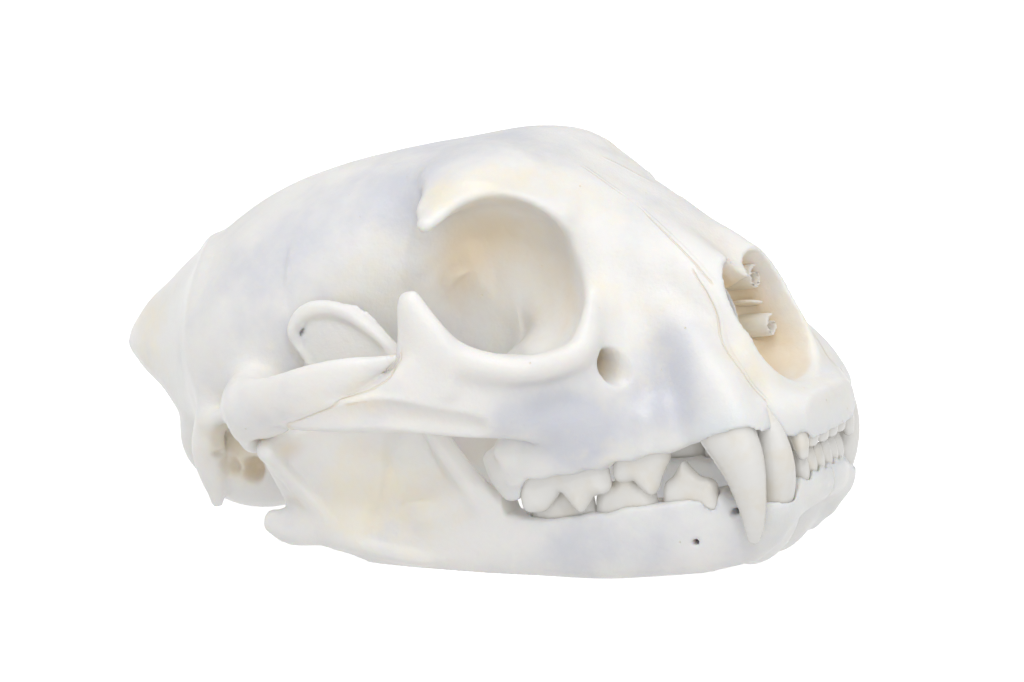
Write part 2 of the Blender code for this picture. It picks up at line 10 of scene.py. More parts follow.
import bpy
import numpy as np
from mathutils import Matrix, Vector


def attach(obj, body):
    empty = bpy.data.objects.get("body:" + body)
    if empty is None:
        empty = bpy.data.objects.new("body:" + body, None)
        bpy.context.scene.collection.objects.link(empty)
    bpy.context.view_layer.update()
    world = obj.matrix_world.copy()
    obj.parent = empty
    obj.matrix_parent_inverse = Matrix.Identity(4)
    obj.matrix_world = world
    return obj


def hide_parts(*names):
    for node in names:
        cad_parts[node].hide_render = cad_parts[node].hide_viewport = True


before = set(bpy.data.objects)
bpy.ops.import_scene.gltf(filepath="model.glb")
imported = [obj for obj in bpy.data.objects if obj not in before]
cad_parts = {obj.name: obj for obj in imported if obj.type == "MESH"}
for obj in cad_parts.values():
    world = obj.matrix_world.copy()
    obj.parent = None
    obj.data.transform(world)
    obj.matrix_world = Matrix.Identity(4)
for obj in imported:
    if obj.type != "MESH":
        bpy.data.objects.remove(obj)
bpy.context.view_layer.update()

# Cranium
# In a grown cat the cranium is one bone: a thin-walled braincase, a short face with two large orbits, and
# the cheek arches. This one has been cleaned and bleached, which leaves it near-white and a little glossy.

MM = 0.001
NOSE_UP = math.radians(11.1)  # the gum line slopes up towards the nose when the jaw rests on a table
GUM_LINE_HEIGHT = 26.1  # gum line above the table at the front of the upper jaw
MIDDLE_OF_LENGTH = 62.4  # from the front of the upper jaw back to the object's middle
RIGHT, LEFT = -1, 1  # the animal's right side is at -X
SIDES = ((RIGHT, "right"), (LEFT, "left"))
UP, BACK, LATERAL = (0, 0, 1), (0, 1, 0), (1, 0, 0)


def to_world(points, side=LEFT):
    """Skull-frame millimetres to metres: turned nose up about the gum line, moved to the middle, lifted."""
    lateral, back, up = np.asarray(points, float).T
    along = back * math.cos(NOSE_UP) + up * math.sin(NOSE_UP) - MIDDLE_OF_LENGTH
    height = up * math.cos(NOSE_UP) - back * math.sin(NOSE_UP) + GUM_LINE_HEIGHT
    return np.stack([side * lateral, along, height], axis=1) * MM


def to_skull(points):
    """The way back from to_world, with the lateral distance left signed."""
    lateral, along, height = np.asarray(points, float).T / MM
    along, height = along + MIDDLE_OF_LENGTH, height - GUM_LINE_HEIGHT
    back = along * math.cos(NOSE_UP) - height * math.sin(NOSE_UP)
    up = along * math.sin(NOSE_UP) + height * math.cos(NOSE_UP)
    return np.stack([lateral, back, up], axis=1)


def smooth(rows, at, wanted):
    """Rows of values known at the places 'at', read at the places 'wanted' from a cubic through them."""
    rows, at = np.asarray(rows, float), np.asarray(at, float)
    slopes = np.gradient(rows, at, axis=0)
    before, after = np.diff(rows, axis=0)[:-1], np.diff(rows, axis=0)[1:]
    slopes[1:-1] *= np.where(before * after <= 0, 0.25, 1.0)
    i = np.clip(np.searchsorted(at, wanted, side="right") - 1, 0, len(at) - 2)
    span = (at[i + 1] - at[i])[:, None]
    t = (wanted - at[i])[:, None] / span
    return (
        (2 * t**3 - 3 * t**2 + 1) * rows[i]
        + (t**3 - 2 * t**2 + t) * span * slopes[i]
        + (3 * t**2 - 2 * t**3) * rows[i + 1]
        + (t**3 - t**2) * span * slopes[i + 1]
    )


def smooth_path(path, steps):
    """A path's rows at even steps of its length, from a smooth curve through them."""
    path = np.asarray(path, float)
    chords = np.linalg.norm(np.diff(path[:, :3], axis=0), axis=1) ** 0.7
    at = np.concatenate([[0], np.cumsum(chords)])
    return smooth(path, at, np.linspace(0, at[-1], steps))


FAR = 1000.0  # further than any point of a grid


class Solid:
    """Distances to a surface at the points of an even grid, below zero inside the solid."""

    def __init__(self, low, high, step):
        self.low, self.step = np.array(low, float), step
        counts = np.ceil((np.array(high) - self.low) / step).astype(int) + 1
        self.axes = [(self.low[i] + step * np.arange(counts[i])).astype(np.float32) for i in range(3)]
        self.distance = np.full(counts, FAR, np.float32)

    def near(self, low, high):
        """The block of the grid between two corners, with a point to spare, as far as the grid reaches."""
        block = []
        for axis, a, b in zip(self.axes, low, high):
            start = max(int(np.searchsorted(axis, a)) - 1, 0)
            stop = min(int(np.searchsorted(axis, b)) + 1, len(axis))
            block.append(slice(start, stop))
        return tuple(block)

    def places(self, block):
        """The block's lateral, back and up coordinates, each open along the other two."""
        lateral, back, up = (axis[part] for axis, part in zip(self.axes, block))
        return lateral[:, None, None], back[None, :, None], up[None, None, :]

    def add(self, block, other, blend, cut=False, wall=0.0):
        """Joins or cuts: the lower of two distances, or the higher of one and the other's opposite.

        Where the two are within 'blend' of each other, the corner between them is rounded. A wall left by
        a cut is taken away where the depths to its two faces add up to less than 'wall'."""
        own = self.distance[block]
        if wall:
            own = np.maximum(own, (wall + own - other) / 2)
        other = -other if cut else other
        near = np.maximum(blend - np.abs(own - other), 0) / blend
        corner = near * near * (blend / 4)
        self.distance[block] = np.maximum(own, other) + corner if cut else np.minimum(own, other) - corner

    def ball(self, centre, radii, tilt=(0, 0, 0), blend=1.0, cut=False):
        """An ellipsoid: the length of the scaled offset, less one, over the slope of that length."""
        reach = max(radii) + blend + 1
        block = self.near(np.array(centre) - reach, np.array(centre) + reach)
        offset = [place - np.float32(c) for place, c in zip(self.places(block), centre)]
        turn = turned(tilt)
        across = [sum(turn[row][column] * offset[row] for row in range(3)) for column in range(3)]
        length = np.sqrt(sum((a / r) ** 2 for a, r in zip(across, radii)))
        slope = np.sqrt(sum((a / r**2) ** 2 for a, r in zip(across, radii))) + 1e-6
        self.add(block, length * (length - 1) / slope, blend, cut)

    def tube(self, path, tall=UP, steps=20, blend=2.0, grow=0.0, cut=False, wall=0.0):
        """An oval tube: about each short stretch of the path, the distance to an oval ball.

        Path rows are lateral, back, up, half width, and half height along 'tall'."""
        line = smooth_path(path, steps)
        line[:, 3:5] += grow
        run = np.gradient(line[:, :3], axis=0)
        run /= np.linalg.norm(run, axis=1)[:, None]
        high = np.array(tall, float) - run * (run @ np.array(tall, float))[:, None]
        high /= np.linalg.norm(high, axis=1)[:, None]
        wide = np.cross(run, high)
        reach = line[:, 3:5].max() + blend + 1.5
        block = self.near(line[:, :3].min(0) - reach, line[:, :3].max(0) + reach)
        best = np.full([part.stop - part.start for part in block], FAR, np.float32)
        for i in range(steps - 1):
            start, end = line[i, :3], line[i + 1, :3]
            reach = line[i : i + 2, 3:5].max() + blend + 1.5
            part = self.near(np.minimum(start, end) - reach, np.maximum(start, end) + reach)
            if min(p.stop - p.start for p in part) < 1:
                continue
            offset = [place - np.float32(s) for place, s in zip(self.places(part), start)]
            step = (end - start).astype(np.float32)
            t = np.clip(sum(o * s for o, s in zip(offset, step)) / (step @ step), 0, 1)
            offset = [o - t * s for o, s in zip(offset, step)]

            def between(a, b):
                """A value along the stretch, from its two ends."""
                return np.float32(a) + t * np.float32(b - a)

            half_width = between(line[i, 3], line[i + 1, 3])
            half_height = between(line[i, 4], line[i + 1, 4])
            half_length = np.minimum(half_width, half_height)
            width = sum(o * between(wide[i, k], wide[i + 1, k]) for k, o in enumerate(offset))
            height = sum(o * between(high[i, k], high[i + 1, k]) for k, o in enumerate(offset))
            length = sum(o * np.float32(run[i, k]) for k, o in enumerate(offset))
            scaled = (width / half_width, height / half_height, length / half_length)
            radii = (half_width, half_height, half_length)
            far = np.sqrt(sum(s * s for s in scaled))
            slope = np.sqrt(sum((s / r) ** 2 for s, r in zip(scaled, radii))) + 1e-6
            inner = tuple(slice(p.start - b.start, p.stop - b.start) for p, b in zip(part, block))
            best[inner] = np.minimum(best[inner], far * (far - 1) / slope)
        self.add(block, best, blend, cut, wall)

    def relief(self, path, steps=24):
        """Raises the surface along a line: its height there, falling off as a bell to both sides.

        Path rows are lateral, back, up, height, and the distance at which the height has faded."""
        line = smooth_path(path, steps)
        reach = line[:, 4].max() * 2.2 + 1
        block = self.near(line[:, :3].min(0) - reach, line[:, :3].max(0) + reach)
        places = self.places(block)
        shape = [part.stop - part.start for part in block]
        nearest, raised = np.full(shape, FAR**2, np.float32), np.zeros(shape, np.float32)
        for i in range(steps - 1):
            step = (line[i + 1] - line[i]).astype(np.float32)
            offset = [place - np.float32(s) for place, s in zip(places, line[i, :3])]
            t = np.clip(sum(o * s for o, s in zip(offset, step[:3])) / (step[:3] @ step[:3]), 0, 1)
            far = sum((o - t * s) ** 2 for o, s in zip(offset, step[:3]))
            width = np.float32(line[i, 4]) + t * step[4]
            height = (np.float32(line[i, 3]) + t * step[3]) * np.exp(-far / (width * 0.6) ** 2)
            raised = np.where(far < nearest, height, raised)
            nearest = np.minimum(far, nearest)
        self.distance[block] -= raised

    def loft(self, stations, blend=2.0, cut=False, angles=160):
        """A skin through half outlines: (back, [(lateral, up), ...] from the top to the bottom middle).

        In each plane across the skull the outline is a radius that changes with the angle about the
        plane's centre. The distance is how far a point lies beyond it, times the cosine of its slope."""
        back = self.axes[1].astype(float)
        known = np.array([station[0] for station in stations], float)
        outlines = np.array([station[1] for station in stations], float)
        flat = smooth(outlines.reshape(len(known), -1), known, np.clip(back, known[0], known[-1]))
        rows = flat.reshape(len(back), -1, 2)
        middle = (rows[:, 0, 1] + rows[:, -1, 1]) / 2
        turn = np.linspace(0, math.pi, angles)
        radius = np.empty((len(back), angles))
        for j, row in enumerate(rows):
            whole = np.vstack([row[2:0:-1] * [-1, 1], row, row[-2:-4:-1] * [-1, 1]])
            spots = np.linspace(1.5, len(row) + 1.5, 120)
            around = smooth(whole, np.arange(len(whole)), spots) - [0, middle[j]]
            angle = np.arctan2(around[:, 0], around[:, 1])
            order = np.argsort(angle)
            radius[j] = np.interp(turn, angle[order], np.hypot(*around.T)[order])
        slope = np.hypot(np.gradient(radius, turn, axis=1) / radius, np.gradient(radius, back, axis=0))
        for _ in range(6):
            slope[1:-1] = (slope[:-2] + slope[1:-1] * 2 + slope[2:]) / 4
        cosine = 1 / np.sqrt(1 + np.minimum(slope, 2.5) ** 2)
        reach = rows[:, :, 0].max() + blend + 2
        block = self.near((-reach, known[0] - 9, -99), (reach, known[-1] + 9, 99))
        lateral, _, up = self.places(block)
        j = np.arange(block[1].start, block[1].stop)[None, :, None]
        high = up - middle[j].astype(np.float32)
        spot = np.arctan2(np.abs(lateral), high) * np.float32((angles - 1) / math.pi)
        i = np.clip(spot.astype(np.int32), 0, angles - 2)
        t = spot - i

        def read(table):
            """A table's values, mixed from the two nearest angles."""
            return table[j, i] * (1 - t) + table[j, i + 1] * t

        radius, cosine = radius.astype(np.float32), cosine.astype(np.float32)
        out = (np.hypot(lateral, high) - read(radius)) * read(cosine)
        over = np.maximum(known[0] - back, back - known[-1])[j].astype(np.float32)
        out = np.where(over > 0, np.hypot(np.maximum(out, 0), over), np.maximum(out, over))
        self.add(block, out, blend, cut)

    def crown(self, outline, row, half_width, swell, blend=0.4, grow=0.0, cut=False, wall=0.0):
        """A blade-like tooth from its side view, an outline of (back, up) standing on the tooth row.

        The row's lateral place is row[0] + row[1] * back. Inwards from the outline the tooth swells as a
        quarter of an oval, to its half width at the depth 'swell'."""
        points = np.vstack([outline[-2:], outline, outline[:3]])
        curve = smooth(points, np.arange(len(points)), np.arange(2, len(outline) + 2, 0.25))
        low, high = curve.min(0) - 2 - grow, curve.max(0) + 2 + grow
        sides = row[0] + row[1] * np.array([low[0], high[0]])
        inner, outer = sides.min() - half_width - 2, sides.max() + half_width + 2
        block = self.near((inner, *low), (outer, *high))
        lateral, back, up = self.places(block)
        flat = np.stack(np.broadcast_arrays(back[0], up[0]), axis=-1)
        edge, inside = np.full(flat.shape[:2], FAR), np.zeros(flat.shape[:2], bool)
        for start, end in zip(curve, np.roll(curve, -1, axis=0)):
            run = end - start
            t = np.clip((flat - start) @ run / (run @ run + 1e-9), 0, 1)
            edge = np.minimum(edge, np.linalg.norm(flat - start - t[..., None] * run, axis=-1))
            spans = (start[1] > flat[..., 1]) != (end[1] > flat[..., 1])
            crossing = start[0] + (flat[..., 1] - start[1]) * run[0] / (run[1] if run[1] else 1e-9)
            inside ^= spans & (flat[..., 0] < crossing)
        depth = (np.where(inside, edge, -edge) + grow)[None]
        half_width = half_width + grow
        short = np.maximum(swell - depth, 0) / swell
        wide = np.abs(lateral - row[0] - row[1] * back) / half_width
        length = np.hypot(short, wide)
        slope = np.hypot(short / swell, wide / half_width) + 1e-6
        self.add(block, (length * (length - 1) / slope).astype(np.float32), blend, cut, wall)

    def trimmed(self, gum, below, blend):
        """Cuts the bone off at the gum line: rows of back, height at the side, height at the front teeth.

        Between 6.6 and 8.4 mm from the middle the height passes from the one to the other."""
        rows = np.array(gum, float)
        block = self.near((-9, -9, -40), (99, rows[-1, 0], 60))
        lateral, back, up = self.places(block)
        side, middle = np.interp(back, rows[:, 0], rows[:, 1]), np.interp(back, rows[:, 0], rows[:, 2])
        height = middle + (side - middle) * np.clip((np.abs(lateral) - 6.6) / 1.8, 0, 1)
        past = up - height if below else height - up
        self.add(block, past.astype(np.float32), blend, cut=True)

    def flattened(self, low, high, axis, at, blend):
        """Cuts away, in the block between two corners, what lies below 'at' along one of the three axes."""
        block = self.near(low, high)
        past = self.places(block)[axis] - at + np.zeros(self.distance[block].shape, np.float32)
        self.add(block, past, blend, cut=True)

    def copied(self):
        """A second solid on the same grid, with the distances as they are now."""
        twin = Solid((0, 0, 0), (0, 0, 0), self.step)
        twin.low, twin.axes, twin.distance = self.low, self.axes, self.distance.copy()
        return twin

    def mirrored(self):
        """The same solid with its other half: the lateral axis starts half a step from the middle."""
        whole = Solid((0, 0, 0), (0, 0, 0), self.step)
        whole.distance = np.concatenate([self.distance[::-1], self.distance])
        whole.low = self.low * [-1, 1, 1]
        whole.low[0] = -(len(self.axes[0]) - 0.5) * self.step
        return whole

    def read(self, points, values=None):
        """The distances, or other values on the same grid, at any points, mixed from the nearest eight."""
        values = self.distance if values is None else values
        spot = (points - self.low) / self.step
        cell = np.clip(np.floor(spot).astype(int), 0, np.array(values.shape) - 2)
        part = spot - cell
        total = np.zeros(len(points))
        for corner in np.ndindex(2, 2, 2):
            share = np.prod(np.where(corner, part, 1 - part), axis=1)
            total += share * values[tuple((cell + corner).T)]
        return total

    def slope(self, points, reach=0.75):
        """The direction in which the distance grows fastest, from its change over a short reach."""
        hop = reach * self.step
        ahead = [self.read(points + axis * hop) - self.read(points - axis * hop) for axis in np.eye(3)]
        return np.stack(ahead, axis=1) / (2 * hop)

    def skin(self):
        """The surface as points and four-sided faces: one point in each cell that the surface crosses.

        The point is the mean of the crossings on the cell's edges, then moved onto the surface."""
        inside = self.distance < 0
        count = sum(inside[tuple(slice(c, n - 1 + c) for c, n in zip(corner, inside.shape))].astype(np.int8)
                    for corner in np.ndindex(2, 2, 2))
        cells = np.argwhere((count > 0) & (count < 8))
        number = np.full(count.shape, -1, np.int32)
        number[tuple(cells.T)] = np.arange(len(cells))
        total, crossings = np.zeros((len(cells), 3)), np.zeros(len(cells))
        for axis in range(3):
            for corner in np.ndindex(2, 2):
                near = np.insert(np.array(corner), axis, 0)
                far = np.insert(np.array(corner), axis, 1)
                a, b = self.distance[tuple((cells + near).T)], self.distance[tuple((cells + far).T)]
                crossed = (a < 0) != (b < 0)
                place = np.tile(near.astype(float), (len(cells), 1))
                place[:, axis] = np.where(crossed, a / np.where(crossed, a - b, 1), 0)
                total[crossed] += place[crossed]
                crossings += crossed
        points = (cells + total / crossings[:, None]) * self.step + self.low
        faces = []
        for axis in range(3):
            others = [other for other in range(3) if other != axis]
            low = [slice(1, n - 1) for n in inside.shape]
            low[axis] = slice(0, inside.shape[axis] - 1)
            high = list(low)
            high[axis] = slice(1, inside.shape[axis])
            edges = np.argwhere(inside[tuple(low)] != inside[tuple(high)])
            edges[:, others] += 1
            corners = []
            for first, second in ((-1, -1), (0, -1), (0, 0), (-1, 0)):
                cell = edges.copy()
                cell[:, others[0]] += first
                cell[:, others[1]] += second
                corners.append(number[tuple(cell.T)])
            quads = np.stack(corners, axis=1)
            outwards = inside[tuple(edges.T)] == (axis != 1)
            quads[~outwards] = quads[~outwards][:, ::-1]
            faces.append(quads)
        for _ in range(2):
            slope = self.slope(points)
            move = -slope * (self.read(points) / ((slope**2).sum(1) + 1e-6))[:, None]
            length = np.linalg.norm(move, axis=1)
            points += move * np.minimum(1, 0.6 * self.step / np.maximum(length, 1e-9))[:, None]
        return points, np.vstack(faces)


def turned(tilt):
    """The turn by 'tilt' in degrees about the lateral, back and up directions, one after another."""
    a, b, c = np.radians(tilt)
    first = np.array([[1, 0, 0], [0, math.cos(a), -math.sin(a)], [0, math.sin(a), math.cos(a)]])
    second = np.array([[math.cos(b), 0, math.sin(b)], [0, 1, 0], [-math.sin(b), 0, math.cos(b)]])
    third = np.array([[math.cos(c), -math.sin(c), 0], [math.sin(c), math.cos(c), 0], [0, 0, 1]])
    return (third @ second @ first).astype(np.float32)


def blurred(values, reach):
    """Values on a grid, each replaced three times by the mean of those up to 'reach' points away."""
    for _ in range(3):
        for axis in range(3):
            pad = [(reach + 1, reach) if a == axis else (0, 0) for a in range(3)]
            total = np.cumsum(np.pad(values, pad, mode="edge"), axis=axis, dtype=np.float64)
            size = values.shape[axis]
            ahead = np.take(total, np.arange(2 * reach + 1, 2 * reach + 1 + size), axis=axis)
            values = (ahead - np.take(total, np.arange(size), axis=axis)) / (2 * reach + 1)
    return values


def hollowness(solid, points, reaches=(3.5, 10)):
    """How much of the space about a point is bone, less a half: above zero in hollows, below on edges.

    It is the mean over a short reach and a long one."""
    thin = Solid((0, 0, 0), (0, 0, 0), solid.step * 2)
    thin.low = solid.low
    filled = (solid.distance[::2, ::2, ::2] < 0).astype(np.float64)
    shares = [thin.read(points, blurred(filled, round(reach / thin.step / 1.7))) for reach in reaches]
    return sum(share - 0.5 for share in shares) / len(shares)


def new_piece(name, points, faces, side=LEFT):
    """An object at the origin with its place in its mesh, from skull-frame points and its faces."""
    if side == RIGHT:
        faces = faces[:, ::-1]
    mesh = bpy.data.meshes.new(name)
    mesh.vertices.add(len(points))
    mesh.vertices.foreach_set("co", to_world(points, side).astype(np.float32).ravel())
    mesh.loops.add(faces.size)
    mesh.loops.foreach_set("vertex_index", faces.astype(np.int32).ravel())
    mesh.polygons.add(len(faces))
    mesh.polygons.foreach_set("loop_start", np.arange(0, faces.size, 4, dtype=np.int32))
    mesh.polygons.foreach_set("loop_total", np.full(len(faces), 4, np.int32))
    mesh.update(calc_edges=True)
    mesh.shade_smooth()
    piece = bpy.data.objects.new(name, mesh)
    bpy.context.scene.collection.objects.link(piece)
    return piece


def thin_out(piece, most_triangles):
    """Collapses the flattest edges until the piece has no more triangles than 'most_triangles'."""
    triangles = 2 * len(piece.data.polygons)
    if triangles <= most_triangles:
        return
    fewer = piece.modifiers.new("thin_out", "DECIMATE")
    fewer.ratio = most_triangles / triangles
    evaluated = piece.evaluated_get(bpy.context.evaluated_depsgraph_get())
    thinned = bpy.data.meshes.new_from_object(evaluated)
    piece.modifiers.remove(fewer)
    piece.data = thinned
    thinned.shade_smooth()


def vertex_places(piece):
    """The piece's points in the skull's frame."""
    flat = np.empty(len(piece.data.vertices) * 3, np.float32)
    piece.data.vertices.foreach_get("co", flat)
    return to_skull(flat.reshape(-1, 3))


def store(piece, name, values):
    """Keeps one number for each of the piece's points, under a name that its material reads."""
    piece.data.attributes.new(name, "FLOAT", "POINT").data.foreach_set("value", values.astype(np.float32))


def on_one_side(points):
    """The same points with the lateral distance unsigned, for what is the same on both sides."""
    return np.abs(points) * [1, 0, 0] + points * [0, 1, 1]


def patches(points, spots):
    """The sum of soft oval spots: each has a centre, radii and a strength, and fades as a bell."""
    places = on_one_side(points)
    total = np.zeros(len(points))
    for centre, radii, strength in spots:
        far = (((places - centre) / radii) ** 2).sum(1)
        total += strength * np.exp(-far * 1.5)
    return total


def seam_distance(points, normals, path):
    """Distance from a line on the surface, above zero on one side of it and below on the other.

    It comes with how near the line's own stretch is: 1 on it and 0 from 3 mm away."""
    sides = np.stack([np.sign(points[:, 0]), np.ones(len(points)), np.ones(len(points))], axis=1)
    places, facing = points * sides, normals * sides
    line = smooth_path(path, 90)
    run = np.gradient(line, axis=0)
    run /= np.linalg.norm(run, axis=1)[:, None]
    low, high = line.min(0) - 6, line.max(0) + 6
    close = np.flatnonzero(((places > low) & (places < high)).all(1))
    offset = places[close, None, :] - line[None]
    nearest = (offset**2).sum(2).argmin(1)
    offset = offset[np.arange(len(close)), nearest]
    side = np.cross(run[nearest], facing[close])
    side /= np.linalg.norm(side, axis=1)[:, None] + 1e-9
    across = (offset * side).sum(1)
    signed, presence = np.full(len(points), 9.0), np.zeros(len(points))
    signed[close] = across
    presence[close] = np.clip(1.5 - np.linalg.norm(offset, axis=1) / 2, 0, 1)
    return signed, presence


# Half outlines of the face and braincase, from the front of the upper jaw to the back of the head.
# Each holds points from the top middle round to the bottom middle: lateral, up.
VAULT = [
    (0.6, [(0, 3), (3.2, 3), (6, 2.7), (7.8, 1.2), (8, -1.4), (6.2, -2.8), (3.2, -3.1), (0, -3.1)]),
    (3, [(0, 4.4), (4, 4.4), (7.8, 4), (9.6, 2.4), (9.8, -0.8), (8, -2.3), (4, -2.6), (0, -2.6)]),
    (5, [(0, 8), (4, 9), (7.8, 8.6), (9.8, 6.6), (10.4, 3.2), (10.2, 0.3), (7, -0.6), (0, -0.8)]),
    (7, [(0, 15), (4.2, 16.5), (8, 14.5), (10.6, 10), (14.3, 4.5), (14.6, 0.5), (8.5, -0.5), (0, -0.4)]),
    (9.3, [(0, 19.8), (4.6, 22.4), (9, 18.8), (11, 12.5), (15.5, 6), (17, 0.6), (9.5, -0.4), (0, 0)]),
    (13, [(0, 24.2), (4.8, 26), (9.4, 22.6), (12, 16), (16, 8.5), (18, 0.6), (11, 0), (0, 1)]),
    (18, [(0, 29.2), (4.5, 29.7), (8.9, 26.6), (12.6, 19), (16.4, 9.5), (17.6, -0.4), (12.4, -0.3), (0, 2)]),
    (23, [
        (0, 33.4), (5, 33.4), (10, 30.2), (14.3, 21.5), (18.6, 11.5), (19.7, -1.2), (13.6, -0.6),
        (0, 2.5)]),
    (28, [(0, 36.8), (6, 36.6), (11.8, 33.3), (16.3, 24.5), (23, 12.5), (22.5, -1.8), (16, -0.9), (0, 2.8)]),
    (33, [(0, 40.2), (7, 39.9), (13, 36), (15, 27), (24, 12), (24.9, -2.1), (18, -0.9), (0, 3)]),
    (38, [(0, 42.9), (8, 42.5), (14.8, 38.6), (12.5, 29), (18, 11), (25.8, -2.3), (19.5, -0.6), (0, 3.2)]),
    (43, [(0, 44.8), (9, 44.4), (16.6, 40.6), (12, 30), (12.5, 13), (23.5, 0), (19, 0.8), (0, 3.5)]),
    (47, [(0, 45.7), (9.5, 45.3), (17.2, 41.4), (12, 30), (11, 14), (12, 4), (9, 1.5), (0, 6)]),
    (52, [(0, 46), (9.5, 45.6), (17, 41.5), (15.2, 31), (12.2, 16), (9.5, 6), (8, 2.5), (0, 7)]),
    (57, [(0, 46), (8.5, 45.2), (16.8, 40.8), (18.8, 31), (14.8, 17), (9, 7.5), (7.5, 3), (0, 7)]),
    (63, [(0, 45.8), (8, 44.8), (17.4, 40.4), (21.8, 31), (19, 18), (9.5, 8), (7, 3.5), (0, 6.5)]),
    (70, [(0, 45.2), (8, 44.2), (18, 39.6), (24.2, 30), (23.3, 18), (13, 8), (7.5, 4.5), (0, 5.5)]),
    (78, [(0, 44.2), (8, 43.2), (18.8, 38.3), (26.2, 28.5), (26.5, 18), (18, 8), (8, 4.5), (0, 4.5)]),
    (86, [(0, 42.4), (8, 41.4), (18.5, 36.6), (26.5, 27), (27, 17.5), (21, 8), (8, 4), (0, 3.8)]),
    (93, [(0, 39.6), (8, 38.6), (17.5, 34), (25, 25), (25.6, 16.5), (21, 7.5), (8, 3.5), (0, 3.5)]),
    (98, [(0, 37.2), (8, 36), (16, 31.5), (22, 24), (22.8, 15.5), (19, 6.5), (7.5, 3.3), (0, 3.3)]),
    (103, [(0, 35), (6.5, 33.4), (12.2, 29), (16, 22.5), (17, 14), (14, 5.5), (7, 3.3), (0, 3.3)]),
    (108, [(0, 32.4), (5, 30.9), (9.2, 27), (12.2, 21), (13, 13.5), (10.5, 6), (6, 4), (0, 4)]),
    (113, [(0, 29.2), (4, 27.8), (7.2, 24.6), (9.6, 20), (9.8, 15), (8, 12), (5, 11), (0, 10.5)]),
    (118, [(0, 26), (3, 25), (5.2, 22.6), (6.6, 19.6), (6.5, 17), (5.3, 15.2), (3, 14.4), (0, 14.2)]),
    (121.6, [(0, 22.8), (1.8, 22.2), (3, 21.2), (3.8, 20), (3.7, 18.8), (3, 17.8), (1.8, 17.1), (0, 17)]),
]
BRAINCASE_FRONT, BRAINCASE_BACK = 57, 108
BRAINCASE_WALL = 2.8
BONE_STEP = 0.45  # of the grid
CRANIUM_TRIANGLES = 190000

